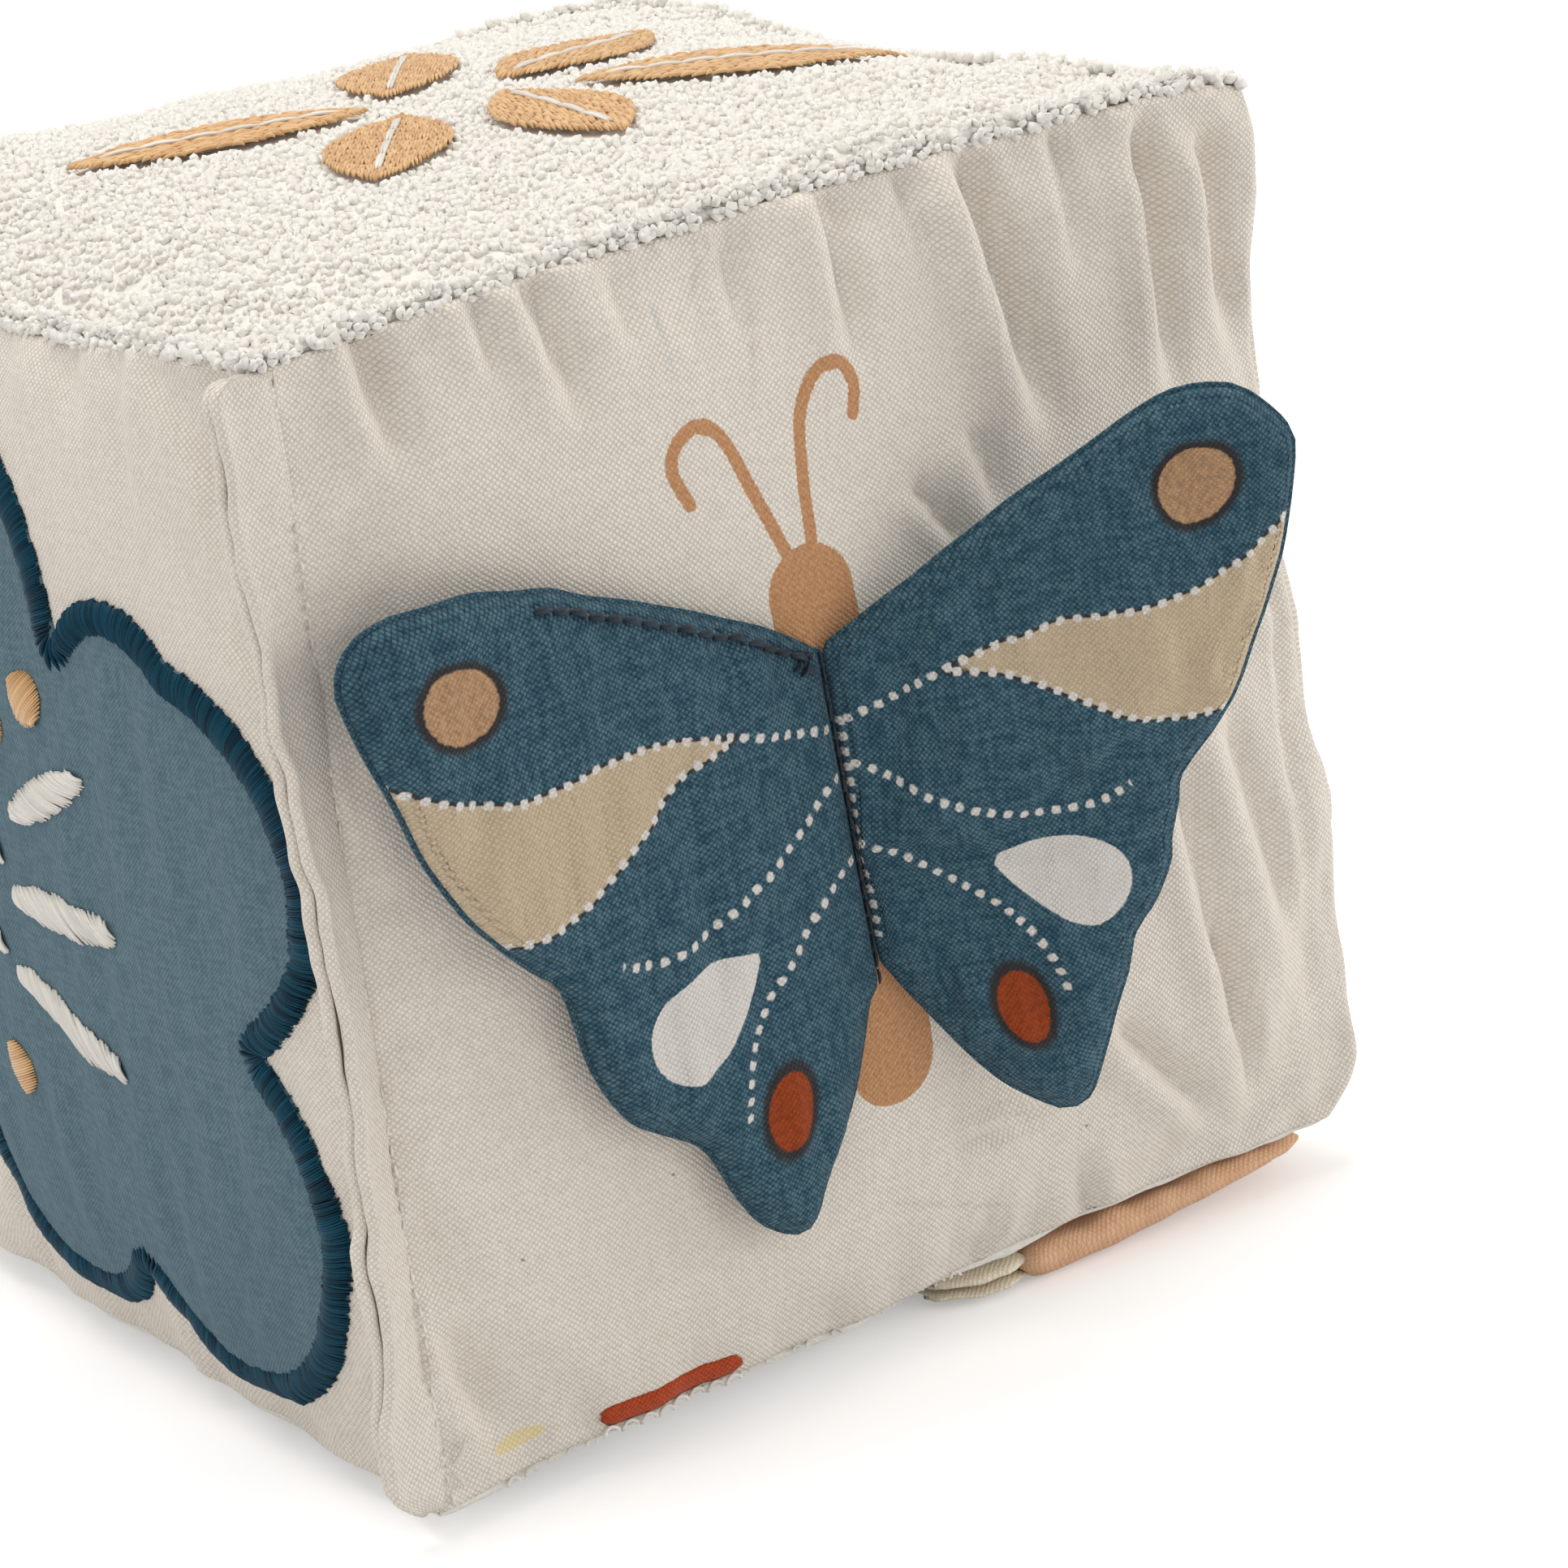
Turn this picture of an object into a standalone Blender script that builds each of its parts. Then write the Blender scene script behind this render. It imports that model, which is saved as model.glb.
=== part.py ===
"""Soft fabric block: six sewn panels over a fibre filling, with two padded butterfly wings on the front.

The origin is the middle of the underside, +Z is up, -Y is the front panel and -X the left one.
All lengths are in metres, and all angles in degrees.
"""
import math

import bmesh
import bpy
from mathutils import Matrix, Vector

# The block
SEAM_LENGTH = 0.140
SIDE_CROWN = 0.0050
TOP_CROWN = 0.0065
BASE_CROWN = 0.0050
BASE_CUT = 0.0005
EDGE_DRAW = 0.0015
SIDE_FULLNESS_SHARE = 0.60
TOP_FULLNESS_SHARE = 0.42
BASE_FULLNESS_SHARE = 0.35
CANVAS = 0.0009
TERRY = 0.0025
SEAM_PULL = 0.00022
SEAT_GAP = 0.0003
CUT_OVERRUN = 0.0100

# Folded hems of the closing seam, on the front left edge: shares of the height, and of the full lean
HEM_WIDTH = 0.0070
HEM_THICKNESS = 0.0016
HEM_FRONT_ROOT = 0.0005
HEM_SIDE_ROOT = 0.0022
HEM_GAP = 0.0005
HEM_END_INSET = 0.0020
HEM_FULL_LEAN = 90.0
HEM_STATION_SHARES = (
    (-1.00, -0.05), (-0.86, -0.02), (-0.68, 0.10), (-0.45, 0.36), (-0.20, 0.40),
    (0.05, 0.36), (0.30, 0.20), (0.55, 0.06), (0.80, -0.03), (1.00, -0.05))

# Fibre filling, and the rattle that it holds
FILLING_CLEARANCE = 0.0010
FILLING_SPLIT = 0.0003
POCKET_CLEARANCE = 0.0006
RATTLE_RADIUS = 0.0170
RATTLE_WALL = 0.0016
RATTLE_LIP_HEIGHT = 0.0015
RATTLE_LIP_WALL = 0.0006
BEAD_RADIUS = 0.0030
BEAD_COUNT = 5

# Wings: they turn about the seam that sews them to the front panel
WING_SEAM_X = -0.0057
WING_SEAM_TOP = 0.0950
WING_SEAM_LENGTH = 0.0420
WING_SEAM_TILT = 3.7
WING_SEAM_WIDTH = 0.0024
WING_SEAM_THICKNESS = 0.0010
WING_STAND_OFF = 0.0006
WING_ROOT = 0.0016
LEFT_REACH = 0.0634
RIGHT_REACH = 0.0588
LEFT_DROP = 0.0690
RIGHT_DROP = 0.0645
LEFT_FLARE = 2.0
RIGHT_FLARE = 28.0
WING_CLOTH = 0.0006
WING_FILM = 0.0002
WING_THICKNESS = 0.0040

# A wing's outline, as shares of its reach and its drop, and its domes, as shares of outline and height
WING_OUTLINE_SHARES = (
    (0.172, -0.085), (0.425, -0.208), (0.612, -0.285), (0.760, -0.327), (0.870, -0.336), (0.945, -0.312),
    (0.990, -0.262), (1.000, -0.196), (0.970, -0.090), (0.915, 0.055), (0.850, 0.185), (0.773, 0.298),
    (0.700, 0.362), (0.668, 0.420), (0.655, 0.480), (0.632, 0.570), (0.570, 0.665), (0.485, 0.770),
    (0.425, 0.860), (0.395, 0.935), (0.340, 0.992), (0.285, 0.992), (0.225, 0.945), (0.118, 0.805))
WING_ROOT_BOTTOM_SHARE = 0.630
WING_HEART_SHARES = (0.455, 0.240)
CLOTH_RING_SHARES = ((1.0, 0.08), (0.985, 0.30), (0.93, 0.56), (0.80, 0.86), (0.52, 1.0))
BATTING_RING_SHARES = ((0.935, 0.0), (0.90, 0.34), (0.80, 0.74), (0.52, 1.0))
FILM_OUTLINE_SHARE = 0.94

# Cloud patch on the left panel, as shares of its half width, with its satin border and the sprig on it
PATCH_THICKNESS = 0.0007
BORDER_WIDTH = 0.0037
BORDER_THICKNESS = 0.0013
CLOUD_SEAM_MARGIN = 0.0090
CLOUD_NOTCH_SHARES = (
    (-0.287, 0.493), (-0.711, 0.516), (-0.843, -0.258), (-0.161, -0.918),
    (0.505, -0.689), (0.780, -0.023), (0.574, 0.574))
CLOUD_BULGE_SHARES = (0.23, 0.37, 0.53, 0.36, 0.34, 0.36, 0.45)
LOBE_STEPS = 7
LEAF_THICKNESS = 0.0008
PATCH_LEAF_WIDTH = 0.0052
PATCH_LEAF_SHARES = (
    ((-0.023, 0.069), (-0.344, 0.230)), ((0.034, -0.115), (-0.390, -0.092)),
    ((0.092, -0.298), (-0.321, -0.413)), ((0.046, -0.023), (0.344, 0.184)),
    ((0.115, -0.230), (0.459, -0.138)))
PATCH_BUD_RADIUS = 0.0035
PATCH_BUD_SHARES = ((0.023, 0.275), (-0.160, 0.350), (0.230, 0.367), (0.184, -0.528))

# Leaf spray on the top panel, as shares of half its side
TOP_LEAF_WIDTH = 0.0160
TOP_LEAF_SHARES = (
    ((-0.11, 0.11), (-0.60, 0.37)), ((-0.03, 0.18), (0.26, 0.60)), ((-0.11, 0.00), (-0.38, -0.36)),
    ((0.08, -0.03), (0.06, -0.47)), ((0.16, 0.10), (0.62, 0.30)), ((0.22, -0.06), (0.80, -0.28)))
LEAF_STEPS = 6

# Pieces sewn under the front edge, as shares of half the base's side, and the strip at its foot
PAD_OUTLINE_SHARES = (
    (0.30, -0.955), (0.88, -0.945), (0.95, -0.900), (0.90, -0.800), (0.66, -0.720), (0.38, -0.760))
FOLD_OUTLINE_SHARES = (
    (0.12, -0.930), (0.25, -0.950), (0.28, -0.930), (0.30, -0.740), (0.20, -0.700), (0.11, -0.780))
PAD_BEVEL = 0.0008
STRIP_LENGTH = 0.0205
STRIP_HEIGHT = 0.0022
STRIP_THICKNESS = 0.0006
STRIP_X = -0.0360
STRIP_RISE = 0.0035

# How finely the meshes are made
PANEL_CELLS = 12
FILLING_CELLS = 6
ROUND_SEGMENTS = 16
ARC_STEPS = 5
OUTLINE_STEPS_PER_SPAN = 2
BEVEL_STEPS = 2
MERGE_DISTANCE = 0.00001
SMOOTH_ANGLE = 40.0

HALF = SEAM_LENGTH / 2
CLOUD_HALF = HALF - CLOUD_SEAM_MARGIN
BASE_DROP = BASE_CROWN - BASE_CUT
CENTRE = Vector((0, 0, BASE_DROP + HALF))
AXIS_Y = -(HALF + SIDE_CROWN + WING_STAND_OFF + WING_CLOTH + SEAT_GAP / 2)
X, Y, Z = range(3)

# Each side of the block is an axis and the direction along it
SIDES = {(X, -1), (X, 1), (Y, -1), (Y, 1), (Z, -1), (Z, 1)}
CROWNS = dict.fromkeys(SIDES, SIDE_CROWN) | {(Z, 1): TOP_CROWN, (Z, -1): BASE_CROWN}
FULLNESS = dict.fromkeys(SIDES, SIDE_FULLNESS_SHARE) | {
    (Z, 1): TOP_FULLNESS_SHARE, (Z, -1): BASE_FULLNESS_SHARE}
PANELS = {
    "front_panel": (Y, -1, CANVAS, "canvas"), "back_panel": (Y, 1, CANVAS, "canvas"),
    "left_panel": (X, -1, CANVAS, "canvas"), "right_panel": (X, 1, CANVAS, "canvas"),
    "top_panel": (Z, 1, TERRY, "terry"), "bottom_panel": (Z, -1, TERRY, "terry")}

# Colour and roughness of each finish
FINISHES = {
    "canvas": ((0.66, 0.62, 0.56), 0.92),
    "terry": ((0.82, 0.78, 0.72), 0.97),
    "fibre": ((0.86, 0.86, 0.84), 0.95),
    "rattle": ((0.85, 0.86, 0.88), 0.35),
    "bead": ((0.75, 0.77, 0.80), 0.30),
    "wing_blue": ((0.040, 0.105, 0.180), 0.85),
    "film": ((0.80, 0.82, 0.85), 0.25),
    "slate": ((0.085, 0.150, 0.195), 0.88),
    "teal_satin": ((0.010, 0.070, 0.120), 0.45),
    "white_satin": ((0.82, 0.81, 0.79), 0.50),
    "tan_satin": ((0.62, 0.38, 0.16), 0.55),
    "tan_cloth": ((0.56, 0.33, 0.20), 0.88),
    "beige_cloth": ((0.60, 0.54, 0.45), 0.90),
    "terracotta": ((0.48, 0.09, 0.025), 0.85),
}


def clear_scene():
    for item in list(bpy.data.objects):
        bpy.data.objects.remove(item)


def new_collection(name):
    made = bpy.data.collections.new(name)
    bpy.context.scene.collection.children.link(made)
    return made


def finish(name):
    """The finish's material, made when it is first asked for."""
    if name in bpy.data.materials:
        return bpy.data.materials[name]
    colour, roughness = FINISHES[name]
    made = bpy.data.materials.new(name)
    made.use_nodes = True
    shader = made.node_tree.nodes["Principled BSDF"]
    shader.inputs["Base Color"].default_value = (*colour, 1)
    shader.inputs["Roughness"].default_value = roughness
    shader.inputs["Metallic"].default_value = 0
    return made


def add_object(name, bm, finish_name=None):
    """Turns a bmesh into an object; without a finish it is a cutter."""
    mesh = bpy.data.meshes.new(name)
    bm.to_mesh(mesh)
    bm.free()
    made = bpy.data.objects.new(name, mesh)
    if finish_name:
        parts.objects.link(made)
        mesh.materials.append(finish(finish_name))
    else:
        cutters.objects.link(made)
        made.hide_render = True
        made.display_type = "WIRE"
    return made


def add_empty(name, parent=None):
    made = bpy.data.objects.new(name, None)
    parts.objects.link(made)
    made.parent = parent
    return made


def cut(made, cutter, operation="DIFFERENCE"):
    modifier = made.modifiers.new(operation.title(), "BOOLEAN")
    modifier.operation = operation
    modifier.object = cutter


def shade_smooth(made):
    made.data.shade_smooth()
    made.data.set_sharp_from_angle(angle=math.radians(SMOOTH_ANGLE))


def across(axis):
    """The two axes of the plane across an axis."""
    return [other for other in (X, Y, Z) if other != axis]


def along(axis, first, second, depth):
    """A point from two places in the plane across an axis and one along it."""
    point = [first, second]
    point.insert(axis, depth)
    return Vector(point)


def block_point(unit, depths):
    """Maps a point of the unit cube's surface to the crowned block, `depths` under its outside.

    Each edge is drawn in between its corners, and each face swells to its crown in the middle.
    """
    square = [value * value for value in unit]
    point = Vector((0, 0, 0))
    for axis in (X, Y, Z):
        first, second = across(axis)
        side = (axis, 1 if unit[axis] > 0 else -1)
        draw = EDGE_DRAW * (square[first] * (1 - square[second]) + square[second] * (1 - square[first]))
        middle = max(0, (1 - square[first]) * (1 - square[second]))
        rise = CROWNS[side] * middle ** FULLNESS[side]
        point[axis] = unit[axis] * (HALF - depths[side] - draw + rise)
    return CENTRE + point


def toward_seam(value):
    """Grid lines stand closer together towards a seam, where a panel turns most."""
    return math.sin(value * math.pi / 2)


def face_point(flat, axis, sign, depth, pull):
    """A point of one face of the block, from a point of a flat grid, drawn back from the seams by `pull`."""
    unit = along(axis, toward_seam(flat.x), toward_seam(flat.y), sign)
    point = block_point(unit, dict.fromkeys(SIDES, depth)) - CENTRE
    for other in across(axis):
        point[other] *= 1 - pull / HALF
    return CENTRE + point


def face_outwards(bm):
    """Turns every face outwards; a thin crowned slab can come out of the recalculation reversed."""
    bmesh.ops.recalc_face_normals(bm, faces=list(bm.faces))
    if bm.calc_volume(signed=True) < 0:
        bmesh.ops.reverse_faces(bm, faces=list(bm.faces))


def new_verts(made):
    return [item for item in made["geom"] if isinstance(item, bmesh.types.BMVert)]


def face_slab(axis, sign, inner, outer, pull):
    """A crowned slab over one face of the block, between two depths under the outside."""
    bm = bmesh.new()
    bmesh.ops.create_grid(bm, x_segments=PANEL_CELLS, y_segments=PANEL_CELLS, size=1)
    under = list(bm.verts)
    over = new_verts(bmesh.ops.extrude_face_region(bm, geom=list(bm.faces)))
    for verts, depth in ((under, inner), (over, outer)):
        for vert in verts:
            vert.co = face_point(vert.co.copy(), axis, sign, depth, pull)
    face_outwards(bm)
    return bm


def prism(points, axis, low, high, inset=0.0, band=False):
    """A flat outline, drawn in by an inset, or the band that the inset leaves, drawn out along an axis."""
    bm = bmesh.new()
    faces = [bm.faces.new([bm.verts.new(along(axis, *point, low)) for point in points])]
    if inset:
        bm.normal_update()
        ring = bmesh.ops.inset_region(bm, faces=faces, thickness=inset, use_boundary=True,
                                      use_even_offset=True)["faces"]
        dropped = faces if band else ring
        faces = ring if band else faces
        bmesh.ops.delete(bm, geom=dropped, context="FACES")
    moved = new_verts(bmesh.ops.extrude_face_region(bm, geom=faces))
    bmesh.ops.translate(bm, verts=moved, vec=along(axis, 0, 0, high - low))
    face_outwards(bm)
    return bm


def square_outline(half):
    return ((-half, -half), (half, -half), (half, half), (-half, half))


def loft(rings, closed=True):
    """A skin from each ring of points to the next, capped at the last ring, and at the first if closed."""
    bm = bmesh.new()
    loops = []
    for ring in rings:
        verts = [bm.verts.new(point) for point in ring]
        loops.append((verts, [bm.edges.new((verts[i - 1], verts[i])) for i in range(len(verts))]))
    for (_, lower), (_, upper) in zip(loops, loops[1:]):
        bmesh.ops.bridge_loops(bm, edges=lower + upper)
    for verts, _ in (loops[0], loops[-1]) if closed else loops[-1:]:
        bm.faces.new(verts)
    face_outwards(bm)
    return bm


def arc(start, end, bulge, steps):
    """Points from start towards end on an arc whose height is `bulge` times the chord, to its right."""
    start, end = Vector(start), Vector(end)
    chord = end - start
    radius = chord.length * (1 / (4 * bulge) + bulge) / 2
    side = Vector((chord.y, -chord.x)).normalized()
    centre = (start + end) / 2 + side * (chord.length * bulge - radius)
    begin = start - centre
    turn = begin.angle_signed(end - centre)
    if bulge > 1 / 2:
        turn -= math.copysign(2 * math.pi, turn)
    return [centre + Matrix.Rotation(-turn * step / steps, 2) @ begin for step in range(steps)]


def smooth_line(points):
    """A curve through the points, by the Catmull-Rom rule, with the same number of steps to each span."""
    points = [Vector(point) for point in points]
    padded = [2 * points[0] - points[1], *points, 2 * points[-1] - points[-2]]
    line = []
    for before, start, end, after in zip(padded, padded[1:], padded[2:], padded[3:]):
        for step in range(OUTLINE_STEPS_PER_SPAN):
            t = step / OUTLINE_STEPS_PER_SPAN
            line.append((2 * start + (end - before) * t + (2 * before - 5 * start + 4 * end - after) * t ** 2
                         + (3 * start - before - 3 * end + after) * t ** 3) / 2)
    return [*line, points[-1]]


def leaf_outline(ends, width):
    """A leaf between its two ends, pointed at both."""
    base, tip = ends
    bulge = width / 2 / (Vector(tip) - Vector(base)).length
    return arc(base, tip, bulge, LEAF_STEPS) + arc(tip, base, bulge, LEAF_STEPS)


def circle_outline(centre, radius):
    turns = [2 * math.pi * step / ROUND_SEGMENTS for step in range(ROUND_SEGMENTS)]
    return [(centre[0] + radius * math.cos(turn), centre[1] + radius * math.sin(turn)) for turn in turns]


def scaled(shares, half, rise=0):
    """Places across an axis from shares of a half size; `rise` lifts the second of each."""
    return [(half * first, rise + half * second) for first, second in shares]


def build_panels():
    """The six panels; the bottom one is cut flat where the block stands."""
    for name, (axis, sign, cloth, finish_name) in PANELS.items():
        panel = add_object(name, face_slab(axis, sign, cloth, 0, SEAM_PULL), finish_name)
        if sign < 0 and axis == Z:
            cut(panel, add_object("floor_cutter", prism(square_outline(HALF), Z, -CUT_OVERRUN, 0)))
        shade_smooth(panel)


def hem_section(root, side):
    """Corners of a folded hem across its length: out from the seam, and thick to one side of its plane."""
    near, far = HEM_GAP / 2, HEM_GAP / 2 + HEM_THICKNESS
    fold = HEM_WIDTH - HEM_THICKNESS / 2
    corners = ((root, near), (fold, near), (HEM_WIDTH, (near + far) / 2), (fold, far), (root, far))
    return [Vector((out, side * thick, 0)) for out, thick in corners]


def build_hem(name, root, side):
    """One folded hem of the closing seam, which leans forward along the middle of the edge."""
    rings = []
    for height, lean in smooth_line(HEM_STATION_SHARES):
        corner = block_point((-1, -1, height), dict.fromkeys(SIDES, 0))
        if abs(height) == 1:
            corner.z -= height * HEM_END_INSET
        turn = Matrix.Rotation(math.pi + math.radians(lean * HEM_FULL_LEAN), 3, "Z")
        rings.append([corner + turn @ point for point in hem_section(root, side)])
    shade_smooth(add_object(name, loft(rings), "canvas"))


def filling_bmesh():
    """The stuffed shape inside the panels."""
    depths = {(axis, sign): cloth + FILLING_CLEARANCE for axis, sign, cloth, _ in PANELS.values()}
    bm = bmesh.new()
    bmesh.ops.create_cube(bm, size=2)
    bmesh.ops.subdivide_edges(bm, edges=list(bm.edges), cuts=FILLING_CELLS - 1, use_grid_fill=True)
    for vert in bm.verts:
        vert.co = block_point([toward_seam(value) for value in vert.co], depths)
    return bm


def sphere(radius, segments, rings, centre=(0, 0, 0)):
    bm = bmesh.new()
    bmesh.ops.create_uvsphere(bm, u_segments=segments, v_segments=rings, radius=radius)
    bmesh.ops.translate(bm, verts=list(bm.verts), vec=centre)
    return bm


def build_filling():
    """Two handfuls of fibre, above and below the rattle, with half of its pocket in each."""
    pocket = add_object("pocket_cutter", sphere(RATTLE_RADIUS + POCKET_CLEARANCE, ROUND_SEGMENTS,
                                                ROUND_SEGMENTS // 2, CENTRE))
    reach = HALF + CUT_OVERRUN
    for name, sign in (("filling_lower", -1), ("filling_upper", 1)):
        half = add_object(name, filling_bmesh(), "fibre")
        low, high = sorted((CENTRE.z + sign * FILLING_SPLIT / 2, CENTRE.z + sign * reach))
        cut(half, add_object(f"{name}_box", prism(square_outline(reach), Z, low, high)), "INTERSECT")
        cut(half, pocket)
        shade_smooth(half)


def quarter(radius, sign):
    """A quarter circle from the pole to the equator, above or below it."""
    angles = [math.pi / 2 * step / ARC_STEPS for step in range(ARC_STEPS + 1)]
    return [(radius * math.sin(angle), sign * radius * math.cos(angle)) for angle in angles]


def build_turned(name, profile, finish_name):
    """A turned piece: a profile of radius and height, spun round the vertical through the block's centre."""
    bm = bmesh.new()
    verts = [bm.verts.new((radius, 0, height)) for radius, height in profile]
    for start, end in zip(verts, verts[1:]):
        bm.edges.new((start, end))
    made = add_object(name, bm, finish_name)
    made.location = CENTRE
    screw = made.modifiers.new("Screw", "SCREW")
    screw.steps = screw.render_steps = ROUND_SEGMENTS
    screw.use_merge_vertices = True
    screw.merge_threshold = MERGE_DISTANCE


def build_rattle():
    """A capsule of two cups: the lower one's lip stands inside the upper one."""
    inner = RATTLE_RADIUS - RATTLE_WALL
    lip = inner + RATTLE_LIP_WALL
    lower = [*quarter(inner, -1), (inner, RATTLE_LIP_HEIGHT), (lip, RATTLE_LIP_HEIGHT), (lip, 0),
             *reversed(quarter(RATTLE_RADIUS, -1))]
    outside = [(radius, max(height, SEAT_GAP)) for radius, height in quarter(RATTLE_RADIUS, 1)]
    stop = RATTLE_LIP_HEIGHT + SEAT_GAP
    rebate = [(lip + SEAT_GAP, SEAT_GAP), (lip + SEAT_GAP, stop), (math.sqrt(inner ** 2 - stop ** 2), stop)]
    inside = [point for point in quarter(inner, 1) if point[1] > stop]
    build_turned("rattle_shell_lower", lower, "rattle")
    build_turned("rattle_shell_upper", [*outside, *rebate, *reversed(inside)], "rattle")


def build_beads():
    """Beads in a ring on the floor of the rattle."""
    reach = RATTLE_RADIUS - RATTLE_WALL - BEAD_RADIUS - SEAT_GAP
    ring = (BEAD_RADIUS + SEAT_GAP) / math.sin(math.pi / BEAD_COUNT)
    drop = math.sqrt(reach ** 2 - ring ** 2)
    for index in range(BEAD_COUNT):
        turn = 2 * math.pi * index / BEAD_COUNT
        ball = sphere(BEAD_RADIUS, ROUND_SEGMENTS // 2, ARC_STEPS)
        bead = add_object(f"rattle_bead_{index + 1}", ball, "bead")
        bead.location = CENTRE + Vector((ring * math.cos(turn), ring * math.sin(turn), -drop))
        shade_smooth(bead)


def wing_outline(reach, drop):
    """The wing's flat outline, out from the seam and down it, from the top of its root to the bottom."""
    shaped = [(reach * out, drop * down) for out, down in WING_OUTLINE_SHARES]
    return smooth_line([(WING_ROOT, 0), *shaped, (WING_ROOT, drop * WING_ROOT_BOTTOM_SHARE)])


def wing_rings(outline, heart, side, levels):
    """The outline drawn towards the wing's heart, once for each level's share and height over its back."""
    rings = []
    for share, height in levels:
        places = [heart + (point - heart) * share for point in outline]
        front = WING_CLOTH + SEAT_GAP / 2 - height
        rings.append([Vector((side * out, front, -down)) for out, down in places])
    return rings


def wing_levels():
    """Outline share and height of each ring of the wing's layers, from the back cloth forwards."""
    film = WING_CLOTH + SEAT_GAP
    batting = film + WING_FILM + SEAT_GAP
    fill = WING_THICKNESS - WING_CLOTH - SEAT_GAP - batting
    return {
        "back": [(1, 0), (1, WING_CLOTH)],
        "film": [(FILM_OUTLINE_SHARE, film), (FILM_OUTLINE_SHARE, film + WING_FILM)],
        "batting": [(share, batting + fill * height) for share, height in BATTING_RING_SHARES],
        "front": [(share, film + (WING_THICKNESS - film) * height) for share, height in CLOTH_RING_SHARES],
    }


def build_wing(side_name, side, reach, drop, hinge):
    """A padded wing: back cloth, crackling film, batting and the domed front cloth, in that order."""
    outline = wing_outline(reach, drop)
    heart = Vector((reach * WING_HEART_SHARES[0], drop * WING_HEART_SHARES[1]))
    finishes = {"back": "wing_blue", "film": "film", "batting": "fibre", "front": "wing_blue"}
    for layer, levels in wing_levels().items():
        skin = loft(wing_rings(outline, heart, side, levels), layer != "front")
        piece = add_object(f"wing_{side_name}_{layer}", skin, finishes[layer])
        piece.parent = hinge
        if layer == "front":
            shell = piece.modifiers.new("Solidify", "SOLIDIFY")
            shell.thickness = WING_CLOTH
            shell.offset = -1
        shade_smooth(piece)


def build_wings():
    """The seam tape on the front panel, and a wing on each side of it, flared forward about the seam."""
    line = add_empty("wing_line")
    line.location = (WING_SEAM_X, AXIS_Y, WING_SEAM_TOP)
    line.rotation_euler.y = -math.radians(WING_SEAM_TILT)
    for side_name, side, reach, drop, flare in (("left", -1, LEFT_REACH, LEFT_DROP, LEFT_FLARE),
                                                ("right", 1, RIGHT_REACH, RIGHT_DROP, RIGHT_FLARE)):
        hinge = add_empty(f"wing_{side_name}_hinge", line)
        hinge.rotation_euler.z = -side * math.radians(flare)
        build_wing(side_name, side, reach, drop, hinge)
    half = WING_SEAM_WIDTH / 2
    tape = ((-half, -WING_SEAM_LENGTH), (half, -WING_SEAM_LENGTH), (half, 0), (-half, 0))
    back = -(HALF + SIDE_CROWN + SEAT_GAP) - AXIS_Y
    seam = add_object("wing_seam", prism(tape, Y, back - WING_SEAM_THICKNESS, back), "wing_blue")
    seam.parent = line


def build_applique(name, axis, sign, low, high, outline, finish_name):
    """What an outline cuts from a layer over a panel, so that the piece follows the panel's crown."""
    layer = add_object(name, face_slab(axis, sign, -low, -high, SEAM_PULL), finish_name)
    cut(layer, add_object(f"{name}_outline", outline), "INTERSECT")
    shade_smooth(layer)


def cloud_outline():
    """The lobed outline: an arc from each notch to the next."""
    notches = scaled(CLOUD_NOTCH_SHARES, CLOUD_HALF, CENTRE.z)
    outline = []
    for start, end, bulge in zip(notches, notches[1:] + notches[:1], CLOUD_BULGE_SHARES):
        outline += arc(start, end, bulge, LOBE_STEPS)
    return outline


def left_prism(outline, inset=0.0, band=False):
    """An outline drawn right through the left panel."""
    return prism(outline, X, -HALF - 2 * CUT_OVERRUN, -HALF + CUT_OVERRUN, inset, band)


def build_cloud():
    """The slate patch, its satin border, and the white leaves and tan buds stitched on it."""
    outline = cloud_outline()
    cover = SEAT_GAP + PATCH_THICKNESS
    patch = left_prism(outline, BORDER_WIDTH + SEAT_GAP)
    border = left_prism(outline, BORDER_WIDTH, band=True)
    build_applique("cloud_patch", X, -1, SEAT_GAP, cover, patch, "slate")
    build_applique("cloud_border", X, -1, SEAT_GAP, SEAT_GAP + BORDER_THICKNESS, border, "teal_satin")
    seat = cover + SEAT_GAP
    top = seat + LEAF_THICKNESS
    for number, ends in enumerate(PATCH_LEAF_SHARES, 1):
        leaf = left_prism(leaf_outline(scaled(ends, CLOUD_HALF, CENTRE.z), PATCH_LEAF_WIDTH))
        build_applique(f"patch_leaf_{number}", X, -1, seat, top, leaf, "white_satin")
    for number, centre in enumerate(scaled(PATCH_BUD_SHARES, CLOUD_HALF, CENTRE.z), 1):
        bud = left_prism(circle_outline(centre, PATCH_BUD_RADIUS))
        build_applique(f"patch_bud_{number}", X, -1, seat, top, bud, "tan_satin")


def build_top_leaves():
    """A spray of tan satin leaves on the terry."""
    for number, ends in enumerate(TOP_LEAF_SHARES, 1):
        outline = leaf_outline(scaled(ends, HALF), TOP_LEAF_WIDTH)
        leaf = prism(outline, Z, CENTRE.z, CENTRE.z + HALF + TOP_CROWN + CUT_OVERRUN)
        build_applique(f"top_leaf_{number}", Z, 1, SEAT_GAP, SEAT_GAP + LEAF_THICKNESS, leaf, "tan_satin")


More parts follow.
